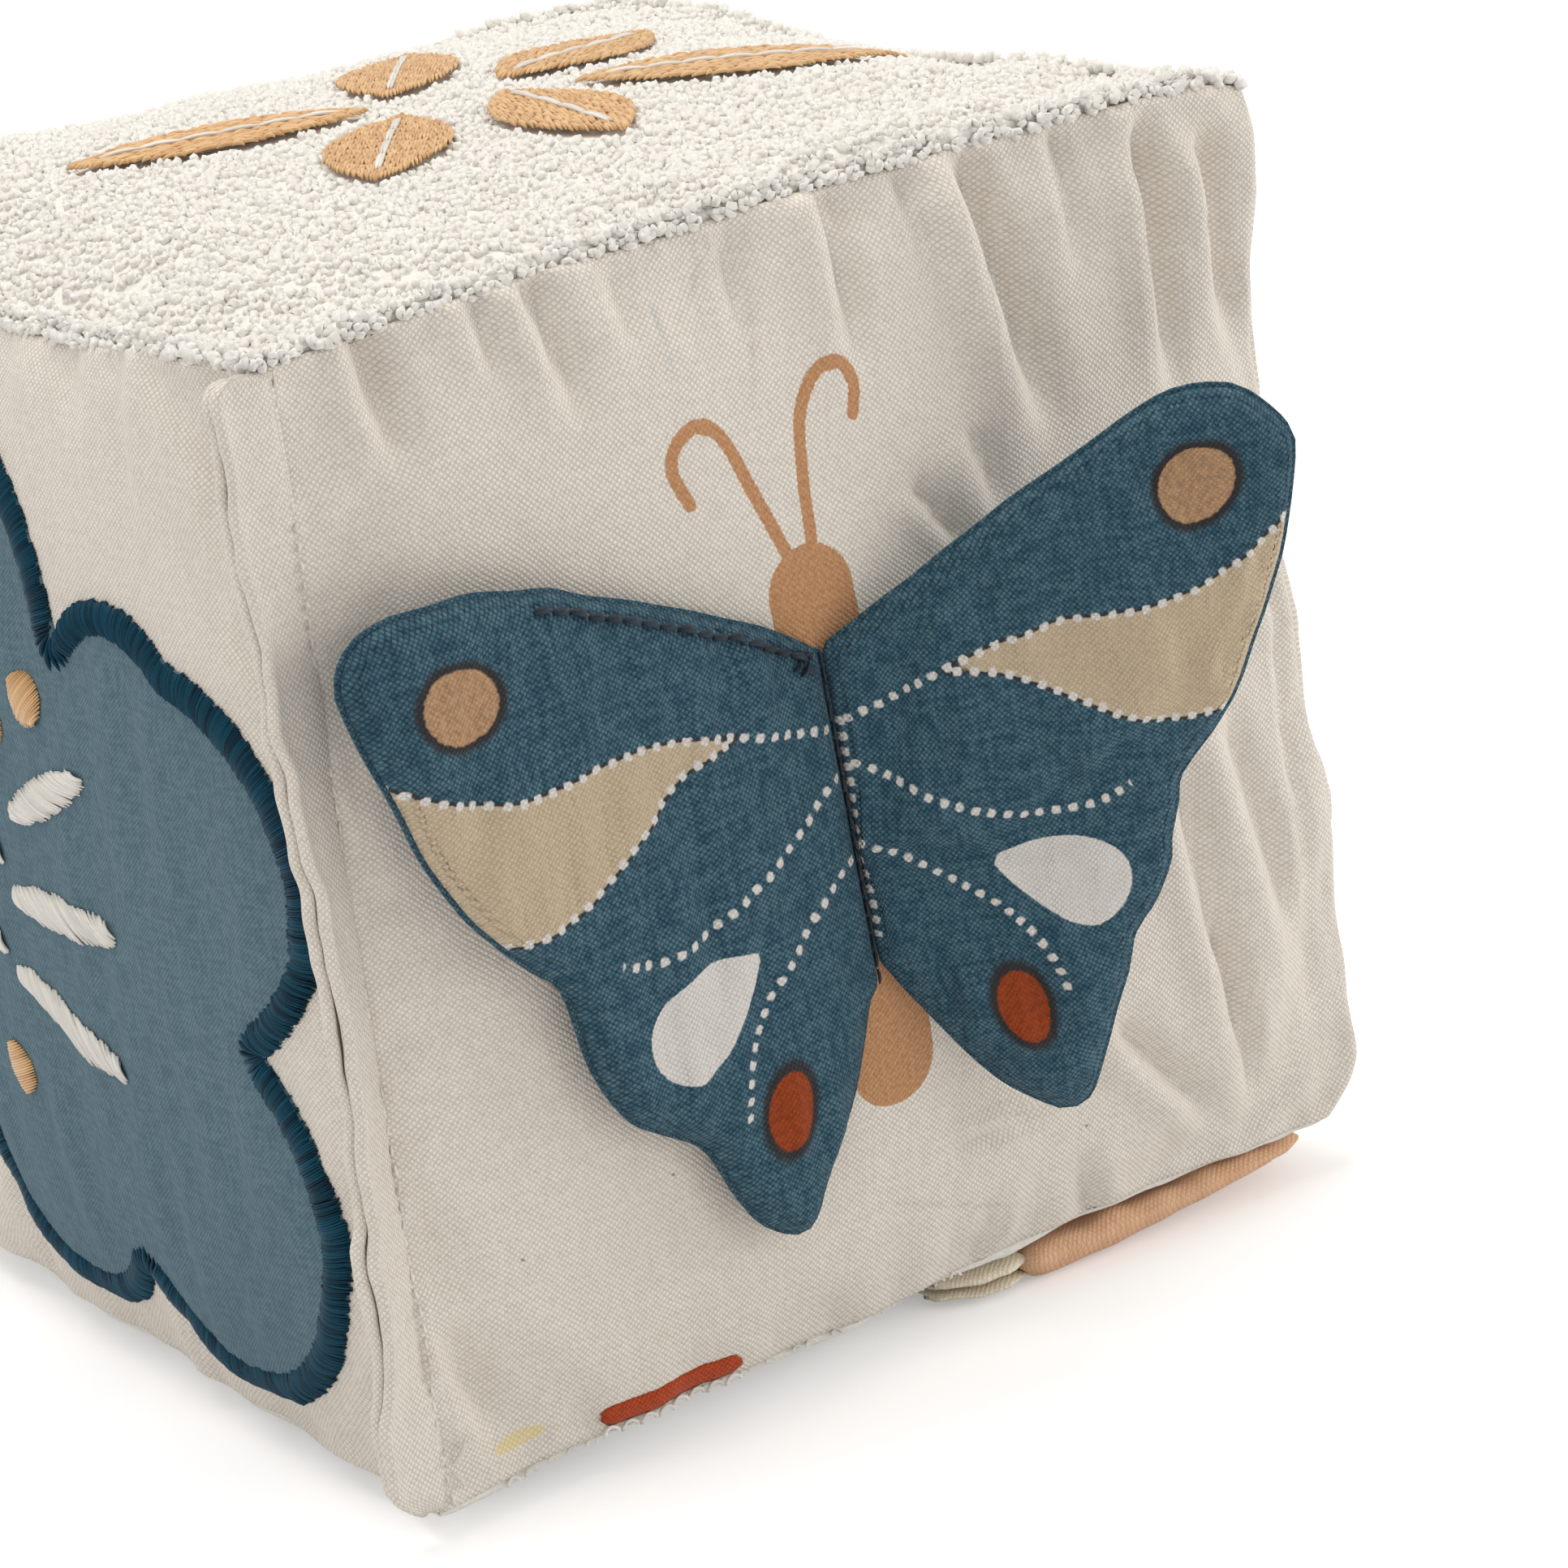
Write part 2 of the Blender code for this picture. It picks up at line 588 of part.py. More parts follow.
def build_base_pieces():
    """The padded piece and the folded cloth sewn under the front edge; they reach the floor."""
    bottom_shape = add_object("bottom_shape", face_slab(Z, -1, HALF, -SEAT_GAP, 0))
    for name, shares, finish_name in (("base_pad", PAD_OUTLINE_SHARES, "tan_cloth"),
                                      ("base_fold", FOLD_OUTLINE_SHARES, "beige_cloth")):
        piece = add_object(name, prism(scaled(shares, HALF), Z, 0, BASE_DROP), finish_name)
        bevel = piece.modifiers.new("Bevel", "BEVEL")
        bevel.width = PAD_BEVEL
        bevel.segments = BEVEL_STEPS
        cut(piece, bottom_shape)
        shade_smooth(piece)


def build_strip():
    """A narrow terracotta strip along the foot of the front panel."""
    low = CENTRE.z - HALF + STRIP_RISE
    left, right = STRIP_X - STRIP_LENGTH / 2, STRIP_X + STRIP_LENGTH / 2
    outline = ((left, low), (right, low), (right, low + STRIP_HEIGHT), (left, low + STRIP_HEIGHT))
    strip = prism(outline, Y, -HALF - CUT_OVERRUN, -HALF + CUT_OVERRUN)
    build_applique("edge_strip", Y, -1, SEAT_GAP, SEAT_GAP + STRIP_THICKNESS, strip, "terracotta")


def build():
    build_panels()
    build_hem("closing_hem_front", HEM_FRONT_ROOT, 1)
    build_hem("closing_hem_side", HEM_SIDE_ROOT, -1)
    build_filling()
    build_rattle()
    build_beads()
    build_wings()
    build_cloud()
    build_top_leaves()
    build_base_pieces()
    build_strip()


clear_scene()
parts = new_collection("soft_fabric_block")
cutters = new_collection("cutters")
build()
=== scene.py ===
"""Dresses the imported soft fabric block: stuffed cover, terry pile, padded wings, patch, stitching and studio.

Every length is in metres and every colour is a display colour from 0 to 255, unless a name says otherwise.
"""

import logging
import math
import random
from dataclasses import dataclass, field
from enum import Enum
from typing import Callable, Iterable, Sequence

import bmesh
import bpy
import numpy as np
from mathutils import Euler, Matrix, Vector, noise
from mathutils.bvhtree import BVHTree


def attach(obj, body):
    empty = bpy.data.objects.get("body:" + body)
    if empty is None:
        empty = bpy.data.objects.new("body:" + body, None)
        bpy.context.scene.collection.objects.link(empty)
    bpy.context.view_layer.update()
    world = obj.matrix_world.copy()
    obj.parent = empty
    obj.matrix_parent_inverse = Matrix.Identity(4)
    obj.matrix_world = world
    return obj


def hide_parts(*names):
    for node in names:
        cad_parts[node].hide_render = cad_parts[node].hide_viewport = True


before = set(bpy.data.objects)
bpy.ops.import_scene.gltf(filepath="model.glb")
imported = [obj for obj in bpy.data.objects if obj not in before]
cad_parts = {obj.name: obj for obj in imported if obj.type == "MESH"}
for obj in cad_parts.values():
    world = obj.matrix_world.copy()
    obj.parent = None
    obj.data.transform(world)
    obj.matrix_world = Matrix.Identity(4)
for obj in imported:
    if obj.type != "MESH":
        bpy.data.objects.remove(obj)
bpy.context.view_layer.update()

LOG = logging.getLogger("block")

Rgb = tuple[float, float, float]
Point = tuple[float, float]
Socket = bpy.types.NodeSocket
Value = Socket | float | Sequence[float]
BMesh, BMVert, BMEdge = bmesh.types.BMesh, bmesh.types.BMVert, bmesh.types.BMEdge
Material, Object = bpy.types.Material, bpy.types.Object

X, Y, Z = range(3)
HALF = 0.070
BASE_DROP = 0.0045
CENTRE = Vector((0, 0, BASE_DROP + HALF))


class Side(Enum):
    """The six sides of the block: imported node, axis and direction along it."""

    FRONT = ("front_panel", Y, -1)
    BACK = ("back_panel", Y, 1)
    LEFT = ("left_panel", X, -1)
    RIGHT = ("right_panel", X, 1)
    TOP = ("top_panel", Z, 1)
    BOTTOM = ("bottom_panel", Z, -1)

    @property
    def node(self) -> str:
        """The side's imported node."""
        return self.value[0]

    @property
    def axis(self) -> int:
        """The axis that the side looks along."""
        return self.value[1]

    @property
    def sign(self) -> int:
        """The direction along that axis."""
        return self.value[2]

    @property
    def across(self) -> tuple[int, int]:
        """The two axes of the side's plane."""
        first, second = (axis for axis in (X, Y, Z) if axis != self.axis)
        return first, second

    @property
    def outwards(self) -> Vector:
        """The side's outward direction."""
        return self.lift(0, 0, self.sign)

    def lift(self, first: float, second: float, depth: float) -> Vector:
        """A point from two places in the side's plane and one along its axis.

        Args:
            first: place along the first axis of the plane.
            second: place along the second axis of the plane.
            depth: place along the side's own axis.

        Returns:
            The point in space.
        """
        point = [first, second]
        point.insert(self.axis, depth)
        return Vector(point)


class Plane(Enum):
    """Where a cloth's weave reads its two directions from."""

    XZ = (X, Z)
    YZ = (Y, Z)
    XY = (X, Y)
    UV = None


def ease(value: float) -> float:
    """A smooth step from 0 to 1."""
    value = min(1.0, max(0.0, value))
    return value * value * (3 - 2 * value)


def rough(*place: float) -> float:
    """Smooth noise at a place, from about -1 to 1."""
    return noise.noise(Vector(place))


def tenths(*pairs: tuple[int, int]) -> tuple[Point, ...]:
    """Points written in tenths of a millimetre."""
    return tuple((x / 10000, y / 10000) for x, y in pairs)


def any_direction(draw: random.Random) -> Vector:
    """A random vector, as likely to point one way as another."""
    return Vector((draw.gauss(0, 1), draw.gauss(0, 1), draw.gauss(0, 1)))


def linear(colour: Rgb) -> tuple[float, float, float, float]:
    """A display colour as the shader's own linear colour.

    Args:
        colour: red, green and blue from 0 to 255.

    Returns:
        The linear colour with full alpha.
    """
    shares = [value / 255 for value in colour]
    low = [value / 12.92 if value <= 0.04045 else ((value + 0.055) / 1.055) ** 2.4 for value in shares]
    return (*low, 1.0)


def smooth_line(points: Sequence[Point], steps: int) -> list[Vector]:
    """A curve through the points, by the Catmull-Rom rule.

    Args:
        points: the points that the curve passes through.
        steps: steps from each point to the next.

    Returns:
        The curve's points.
    """
    knots = [Vector(point) for point in points]
    padded = [2 * knots[0] - knots[1], *knots, 2 * knots[-1] - knots[-2]]
    line = []
    for before, start, end, after in zip(padded, padded[1:], padded[2:], padded[3:]):
        for step in range(steps):
            t = step / steps
            line.append((2 * start + (end - before) * t + (2 * before - 5 * start + 4 * end - after) * t ** 2
                         + (3 * start - before - 3 * end + after) * t ** 3) / 2)
    return [*line, knots[-1]]


def smooth_ring(points: Sequence[Point], steps: int) -> list[Vector]:
    """A closed curve through the points, by the same rule.

    Args:
        points: the points that the curve passes through.
        steps: steps from each point to the next.

    Returns:
        The curve's points, without a second copy of the first.
    """
    wrapped = [*points[-2:], *points, *points[:2]]
    return smooth_line(wrapped, steps)[2 * steps:-2 * steps][:len(points) * steps]


def resample(points: Sequence[Vector], pitch: float, closed: bool = False) -> list[Vector]:
    """Points at an even pitch along a line.

    Args:
        points: the line.
        pitch: the distance between the new points.
        closed: whether the line runs back to its start.

    Returns:
        The evenly spaced points.
    """
    line = [Vector(point) for point in points]
    if closed:
        line.append(line[0])
    lengths = np.cumsum([0.0] + [(b - a).length for a, b in zip(line, line[1:])])
    count = max(2, round(lengths[-1] / pitch))
    places = np.linspace(0, lengths[-1], count, endpoint=not closed)
    columns = [np.interp(places, lengths, [point[axis] for point in line]) for axis in range(len(line[0]))]
    return [Vector(point) for point in zip(*columns)]


def turning(points: Sequence[Vector], index: int, reach: int, closed: bool) -> Vector:
    """The direction of a flat line at one of its points, evened out over its neighbours.

    Args:
        points: the line.
        index: the point's place in it.
        reach: neighbours on either side that are evened out.
        closed: whether the line runs back to its start.

    Returns:
        The line's direction, one long.
    """
    last = len(points) - 1
    low, high = index - reach, index + reach
    if closed:
        return (points[high % len(points)] - points[low % len(points)]).normalized()
    return (points[min(last, high)] - points[max(0, low)]).normalized()


def line_places(flat: np.ndarray, line: Sequence[Vector]) -> tuple[np.ndarray, np.ndarray]:
    """Where flat points lie along a line and to its side.

    Args:
        flat: the points, one row each.
        line: the line's own points.

    Returns:
        The place along the line, which runs on past its ends, and the signed distance from it.
    """
    points = np.array([point[:2] for point in line])
    best, along, beside = np.full(len(flat), np.inf), np.zeros(len(flat)), np.zeros(len(flat))
    walked = 0.0
    for index, (start, end) in enumerate(zip(points, points[1:])):
        span = end - start
        length = float(np.hypot(*span))
        share = (flat - start) @ span / length ** 2
        low = -np.inf if index == 0 else 0
        high = np.inf if index == len(points) - 2 else 1
        held = np.clip(share, low, high)
        gap = flat - start - held[:, None] * span
        distance = np.hypot(gap[:, 0], gap[:, 1])
        nearer = distance < best
        side = np.sign(span[0] * (flat[:, 1] - start[1]) - span[1] * (flat[:, 0] - start[0]))
        best = np.where(nearer, distance, best)
        along = np.where(nearer, walked + held * length, along)
        beside = np.where(nearer, distance * side, beside)
        walked += length
    return along, beside


def outline_distance(flat: np.ndarray, outline: Sequence[Vector]) -> np.ndarray:
    """The distance of flat points inside a closed outline, negative outside it.

    Args:
        flat: the points, one row each.
        outline: the outline's points.

    Returns:
        The signed distances.
    """
    points = np.array([point[:2] for point in outline])
    best = np.full(len(flat), np.inf)
    inside = np.zeros(len(flat), bool)
    for start, end in zip(points, np.roll(points, -1, axis=0)):
        span = end - start
        share = np.clip((flat - start) @ span / max(float(span @ span), 1e-18), 0, 1)
        gap = flat - start - share[:, None] * span
        best = np.minimum(best, np.hypot(gap[:, 0], gap[:, 1]))
        crosses = (start[1] > flat[:, 1]) != (end[1] > flat[:, 1])
        rise = end[1] - start[1] if abs(end[1] - start[1]) > 1e-18 else 1e-18
        inside ^= crosses & (flat[:, 0] < start[0] + (flat[:, 1] - start[1]) * span[0] / rise)
    return np.where(inside, best, -best)


def arc(start: Point, end: Point, bulge: float, steps: int) -> list[Vector]:
    """Points from start towards end on an arc.

    Args:
        start: where the arc begins.
        end: where it ends; the last point is left to the next arc.
        bulge: the arc's height over its chord's length, to the chord's right.
        steps: points on the arc.

    Returns:
        The arc's points.
    """
    start, end = Vector(start), Vector(end)
    chord = end - start
    radius = chord.length * (1 / (4 * bulge) + bulge) / 2
    side = Vector((chord.y, -chord.x)).normalized()
    centre = (start + end) / 2 + side * (chord.length * bulge - radius)
    begin = start - centre
    turn = begin.angle_signed(end - centre)
    if bulge > 1 / 2:
        turn -= math.copysign(2 * math.pi, turn)
    return [centre + Matrix.Rotation(-turn * step / steps, 2) @ begin for step in range(steps)]


def frame_matrix(place: Vector, along: Vector, up: Vector, size: Vector) -> Matrix:
    """A placing matrix from a point, a direction and what stands up from it.

    Args:
        place: the point.
        along: the direction of the new X axis.
        up: roughly the direction of the new Z axis.
        size: the scale along each new axis.

    Returns:
        The matrix.
    """
    ahead = along.normalized()
    beside = up.cross(ahead).normalized()
    above = ahead.cross(beside)
    turned = Matrix((ahead * size.x, beside * size.y, above * size.z)).transposed().to_4x4()
    return Matrix.Translation(place) @ turned


# --- Materials ---


class Graph:
    """One material's node tree, built a node at a time."""

    def __init__(self, name: str) -> None:
        """Starts a material with a plain Principled shader."""
        self.material = bpy.data.materials.new(name)
        self.material.use_nodes = True
        self.tree = self.material.node_tree
        self.shader = self.tree.nodes["Principled BSDF"]

    def feed(self, socket: Socket, value: Value) -> None:
        """Links a socket to another, or sets its own value."""
        if isinstance(value, bpy.types.NodeSocket):
            self.tree.links.new(value, socket)
        else:
            socket.default_value = value

    def node(self, kind: str, inputs: dict[int | str, Value] | None = None, **settings: object) -> bpy.types.Node:
        """Adds a node.

        Args:
            kind: the node's type without its prefix.
            inputs: what each input reads.
            settings: the node's own settings.

        Returns:
            The new node.
        """
        made = self.tree.nodes.new(f"ShaderNode{kind}")
        for key, value in settings.items():
            setattr(made, key, value)
        for key, value in (inputs or {}).items():
            self.feed(made.inputs[key], value)
        return made

    def math(self, operation: str, *values: Value, clamp: bool = False) -> Socket:
        """The result of a sum on one to three values."""
        return self.node("Math", dict(enumerate(values)), operation=operation, use_clamp=clamp).outputs[0]

    def mix(self, share: Value, first: Socket | Rgb, second: Socket | Rgb) -> Socket:
        """A colour between two, where display colours are made linear."""
        first, second = (linear(tone) if isinstance(tone, tuple) else tone for tone in (first, second))
        return self.node("Mix", {0: share, 6: first, 7: second}, data_type="RGBA").outputs[2]

    def band(self, value: Value, low: float, high: float, start: float = 0.0, end: float = 1.0) -> Socket:
        """A value eased from start to end while another goes from low to high."""
        return self.node("MapRange", {0: value, 1: low, 2: high, 3: start, 4: end},
                         interpolation_type="SMOOTHSTEP").outputs[0]

    def scaled(self, vector: Value, scale: Sequence[float]) -> Socket:
        """A vector multiplied along each axis."""
        return self.node("VectorMath", {0: vector, 1: scale}, operation="MULTIPLY").outputs[0]

    def noise(self, vector: Value, pitch: float, detail: float = 2.0) -> Socket:
        """Soft noise whose features are about a pitch across."""
        return self.node("TexNoise", {"Vector": vector, "Scale": 1 / pitch, "Detail": detail}).outputs[0]

    def attribute(self, name: str) -> bpy.types.Node:
        """The node that reads one of the mesh's own attributes."""
        return self.node("Attribute", attribute_name=name)

    def parts(self, vector: Value) -> tuple[Socket, Socket, Socket]:
        """The three parts of a vector."""
        made = self.node("SeparateXYZ", {0: vector})
        return made.outputs[0], made.outputs[1], made.outputs[2]

    def vector(self, first: Value, second: Value, third: Value = 0.0) -> Socket:
        """A vector from its parts."""
        return self.node("CombineXYZ", {0: first, 1: second, 2: third}).outputs[0]

    def flat(self, plane: Plane) -> Socket:
        """Two directions in the cloth's plane, from Object coordinates or the piece's UV map."""
        if plane is Plane.UV:
            return self.node("UVMap", uv_map="flat").outputs[0]
        parts = self.parts(self.node("TexCoord").outputs["Object"])
        return self.vector(parts[plane.value[0]], parts[plane.value[1]])

    def bump(self, height: Value, distance: float) -> None:
        """Adds relief to what the shader has so far."""
        made = self.node("Bump", {"Height": height, "Distance": distance, "Strength": 1.0})
        if self.shader.inputs["Normal"].is_linked:
            self.feed(made.inputs["Normal"], self.shader.inputs["Normal"].links[0].from_socket)
        self.feed(self.shader.inputs["Normal"], made.outputs[0])

    def ragged(self, flat: Value, pitch: float, amount: float) -> Socket:
        """Noise about nought, whose whole spread is the amount."""
        return self.math("MULTIPLY_ADD", self.noise(flat, pitch), amount, -amount / 2)

    def dress(self, **values: Value) -> None:
        """Sets or links the shader's inputs, whose names are written with _ for a space."""
        for name, value in values.items():
            self.feed(self.shader.inputs[name.replace("_", " ")], value)

    def ellipse(self, flat: Socket, centre: Point, radii: Point, turn: float = 0.0) -> Socket:
        """How far a flat point is from an ellipse's middle, where its edge is 1."""
        moved = self.node("VectorMath", {0: flat, 1: (*centre, 0)}, operation="SUBTRACT").outputs[0]
        turned = self.node("VectorRotate", {"Vector": moved, "Angle": turn}, rotation_type="Z_AXIS").outputs[0]
        sized = self.scaled(turned, (1 / radii[0], 1 / radii[1], 0))
        return self.node("VectorMath", {0: sized}, operation="LENGTH").outputs[1]


@dataclass(frozen=True)
class Cloth:
    """A woven cloth: heathered yarns, a plain weave and a soft sheen."""

    name: str
    colour: Rgb
    yarn: Rgb
    plane: Plane = Plane.UV
    pitch: float = 0.00080
    relief: float = 0.00012
    contrast: float = 0.5
    pit: float = 0.30
    ink_pit: float = 0.0
    roughness: float = 0.95
    sheen: float = 0.1
    soil: Rgb | None = None
    shadow: Rgb = (96, 84, 70)

    def weave(self, graph: Graph, flat: Socket) -> Socket:
        """The height of the weave, from 0 to 1."""
        warp = graph.noise(flat, 0.009)
        sway = graph.math("MULTIPLY", graph.math("SUBTRACT", warp, 0.5), self.pitch * 2.2)
        first, second, _ = graph.parts(flat)
        first = graph.math("ADD", first, sway)
        turns = math.pi / self.pitch
        rising = graph.math("SINE", graph.math("MULTIPLY", graph.math("ADD", first, second), turns))
        falling = graph.math("SINE", graph.math("MULTIPLY", graph.math("SUBTRACT", first, second), turns))
        return graph.math("ABSOLUTE", graph.math("MULTIPLY", rising, falling))

    def ground(self, graph: Graph, flat: Socket) -> Socket:
        """The cloth's own colour, with yarns that differ a little along and across it."""
        along = graph.noise(graph.scaled(flat, (0.22, 1, 1)), self.pitch)
        across = graph.noise(graph.scaled(flat, (1, 0.22, 1)), self.pitch)
        yarns = graph.math("ADD", along, across)
        colour = graph.mix(graph.band(yarns, 0.75, 1.25, 0, self.contrast), self.colour, self.yarn)
        if self.soil:
            cloud = graph.band(graph.noise(flat, 0.045, 3), 0.45, 0.85, 0, 0.35)
            colour = graph.mix(cloud, colour, self.soil)
        return colour

    def marks(self, graph: Graph, flat: Socket, colour: Socket) -> Socket:
        """What is printed on the cloth; nothing on a plain one."""
        return colour

    def material(self) -> Material:
        """Makes the material.

        Returns:
            The cloth's material.
        """
        graph = Graph(self.name)
        flat = graph.flat(self.plane)
        weave = self.weave(graph, flat)
        # Painted shade: the weave's recesses are darkened towards the shadow colour, fully on the ground and again,
        # more lightly, over the print.
        uneven = graph.band(graph.noise(flat, self.pitch * 0.9), 0.25, 0.75, 0.65, 1.35)
        pits = graph.math("MULTIPLY", graph.band(weave, 0.0, 0.75, self.pit, 0.0), uneven)
        ground = graph.mix(pits, self.ground(graph, flat), self.shadow)
        colour = self.marks(graph, flat, ground)
        if self.ink_pit:
            colour = graph.mix(graph.math("MULTIPLY", pits, self.ink_pit), colour, self.shadow)
        graph.dress(Base_Color=colour, Roughness=self.roughness, Sheen_Weight=self.sheen, Sheen_Roughness=0.5,
                    Specular_IOR_Level=0.25)
        graph.bump(graph.noise(flat, 0.0022, 3), 0.00006)
        graph.bump(weave, self.relief)
        return graph.material


@dataclass(frozen=True)
class FrontPrint(Cloth):
    """The front canvas, with the butterfly's body, its two feelers and a few dark flecks."""

    ink: Rgb = (200, 151, 108)
    dark: Rgb = (176, 124, 84)
    head: Point = (-0.0048, 0.1012)
    tail: Point = (-0.0012, 0.0406)
    body_radius: float = 0.0060
    feeler_half_width: float = 0.00085
    flecks: tuple[Point, ...] = ((-0.0337, 0.0364), (-0.0547, 0.0323), (0.0278, 0.0214), (0.0585, 0.0735))
    smudges: tuple[tuple[Point, Point, float], ...] = (
        ((-0.0183, 0.1345), (0.0007, 0.0070), -0.05), ((-0.0155, 0.1440), (0.0007, 0.0042), -0.65),
        ((-0.0108, 0.1420), (0.0007, 0.0060), 0.55), ((-0.0068, 0.1320), (0.0007, 0.0070), 0.20),
        ((0.0070, 0.0178), (0.0140, 0.0006), 0.36))

    def body(self, graph: Graph, flat: Socket) -> Socket:
        """The distance from the body's middle line, less its radius."""
        head, tail = Vector((*self.head, 0)), Vector((*self.tail, 0))
        span = tail - head
        moved = graph.node("VectorMath", {0: flat, 1: head}, operation="SUBTRACT").outputs[0]
        share = graph.node("VectorMath", {0: moved, 1: span / span.length_squared},
                           operation="DOT_PRODUCT").outputs[1]
        held = graph.math("MULTIPLY", share, 1.0, clamp=True)
        back = graph.node("VectorMath", {0: span, "Scale": held}, operation="SCALE").outputs[0]
        gap = graph.node("VectorMath", {0: moved, 1: back}, operation="DISTANCE").outputs[1]
        return graph.math("SUBTRACT", gap, self.body_radius)

    def marks(self, graph: Graph, flat: Socket, colour: Socket) -> Socket:
        """The body, the feelers and the flecks, over the canvas."""
        ragged = graph.ragged(flat, 0.0005, 0.0005)
        inked = graph.band(graph.math("ADD", self.body(graph, flat), ragged), -0.00012, 0.00012, 1, 0)
        for name in ("feeler_left", "feeler_right"):
            along, beside, length = graph.parts(graph.attribute(name).outputs["Vector"])
            past = graph.math("MAXIMUM", graph.math("MULTIPLY", along, -1.0), graph.math("SUBTRACT", along, length))
            past = graph.math("MAXIMUM", past, 0.0)
            gap = graph.math("SQRT", graph.math("ADD", graph.math("MULTIPLY", past, past),
                                                graph.math("MULTIPLY", beside, beside)))
            edge = graph.math("ADD", graph.math("SUBTRACT", gap, self.feeler_half_width), ragged)
            inked = graph.math("MAXIMUM", inked, graph.band(edge, -0.00012, 0.00012, 1, 0))
        ink = graph.mix(graph.band(graph.noise(flat, 0.0006), 0.35, 0.7, 0, 0.7), self.ink,
                        self.dark)
        colour = graph.mix(inked, colour, ink)
        for place in self.flecks:
            spot = graph.band(graph.ellipse(flat, place, (0.00035, 0.0002), 0.6), 0.6, 1.2, 0.7, 0)
            colour = graph.mix(spot, colour, (120, 110, 98))
        for centre, radii, turn in self.smudges:
            haze = graph.band(graph.ellipse(flat, centre, radii, turn), 0.3, 1.2, 0.20, 0)
            haze = graph.math("MULTIPLY", haze, graph.band(graph.noise(flat, 0.0016), 0.35, 0.65))
            colour = graph.mix(haze, colour, (112, 142, 158))
        wedge = graph.math("ADD", graph.ellipse(flat, (-0.0571, 0.0088), (0.0036, 0.0010), -0.12),
                           graph.math("MULTIPLY", ragged, 400.0))
        return graph.mix(graph.band(wedge, 0.9, 1.1, 0.85, 0), colour, (232, 214, 160))


@dataclass(frozen=True)
class WingPrint(Cloth):
    """The printed wing cloth: eye spot, cream wedge, dotted veins, white drop and rust spot."""

    eye_turn: float = 0.0
    white: Rgb = (226, 222, 216)
    cream: Rgb = (206, 188, 160)
    tan: Rgb = (196, 156, 118)
    rust: Rgb = (166, 70, 22)
    rim: Rgb = (52, 44, 40)
    eye: Point = (0.0486, -0.0111)
    eye_radii: Point = (0.0060, 0.0049)
    oval: Point = (0.0172, 0.0505)
    oval_radii: Point = (0.0037, 0.0058)
    oval_turn: float = 0.26
    dot_pitch: float = 0.00205
    dot_half: float = 0.00052

    def dots(self, graph: Graph, flat: Socket, name: str) -> Socket:
        """Where the dots of one stitched-looking line are, from 0 to 1."""
        along, beside, length = graph.parts(graph.attribute(name).outputs["Vector"])
        turn = graph.math("FRACT", graph.math("DIVIDE", along, self.dot_pitch))
        ahead = graph.math("MULTIPLY", graph.math("SUBTRACT", turn, 0.5), self.dot_pitch)
        ragged = graph.ragged(flat, 0.0007, 0.0006)
        first = graph.math("POWER", graph.math("ABSOLUTE", graph.math("DIVIDE", ahead, self.dot_half)), 3.0)
        second = graph.math("POWER", graph.math("ABSOLUTE", graph.math("DIVIDE", beside, self.dot_half)), 3.0)
        edge = graph.math("SUBTRACT", graph.math("POWER", graph.math("ADD", first, second), 1 / 3), 1.0)
        edge = graph.math("MULTIPLY_ADD", edge, self.dot_half, ragged)
        on_line = graph.math("MULTIPLY", graph.math("GREATER_THAN", along, 0.0),
                             graph.math("LESS_THAN", along, length))
        return graph.math("MULTIPLY", graph.band(edge, -0.00012, 0.00014, 1, 0), on_line)

    def spot(self, graph: Graph, flat: Socket, colour: Socket, centre: Point, radii: Point, turn: float,
             fill: Rgb) -> Socket:
        """An oval spot with a soft dark rim, over the colour so far."""
        gap = graph.math("ADD", graph.ellipse(flat, centre, radii, turn), graph.ragged(flat, 0.0006, 0.10))
        share = 0.00075 / min(radii)
        colour = graph.mix(graph.band(gap, 1 - 0.3 * share, 1 + 0.9 * share, 0.92, 0), colour, self.rim)
        inner = graph.band(gap, 1 - 1.1 * share, 1 - 0.7 * share, 1, 0)
        tone = graph.mix(graph.band(graph.noise(flat, 0.0008), 0.3, 0.7), fill,
                         tuple(value * 0.86 for value in fill))
        return graph.mix(inner, colour, tone)

    def marks(self, graph: Graph, flat: Socket, colour: Socket) -> Socket:
        """The whole print, over the blue."""
        wedge, drop, inset = graph.parts(graph.attribute("fills").outputs["Vector"])
        sway = graph.ragged(flat, 0.004, 0.0006)
        edge = graph.math("ABSOLUTE", graph.math("SUBTRACT", graph.math("ADD", inset, sway), 0.0012))
        graph.bump(graph.band(edge, 0.0, 0.0005), 0.0003)
        graph.bump(graph.noise(graph.scaled(flat, (1, 0.28, 1)), 0.0030), 0.0010)
        ragged = graph.ragged(flat, 0.0006, 0.0003)
        wedge_edge = graph.math("ADD", wedge, ragged)
        colour = graph.mix(graph.band(wedge_edge, -0.00065, -0.0003, 0, 0.75), colour, self.rim)
        cream = graph.mix(graph.band(graph.noise(flat, 0.0007), 0.35, 0.65, 0, 0.5), self.cream,
                          (192, 172, 142))
        colour = graph.mix(graph.band(wedge_edge, -0.0001, 0.0001), colour, cream)
        colour = graph.mix(graph.band(graph.math("ADD", drop, ragged), -0.0001, 0.0001), colour,
                           self.white)
        colour = self.spot(graph, flat, colour, self.eye, self.eye_radii, self.eye_turn, self.tan)
        colour = self.spot(graph, flat, colour, self.oval, self.oval_radii, self.oval_turn, self.rust)
        for name in ("vein_1", "vein_2", "vein_3", "vein_4", "spine"):
            colour = graph.mix(self.dots(graph, flat, name), colour, self.white)
        return colour


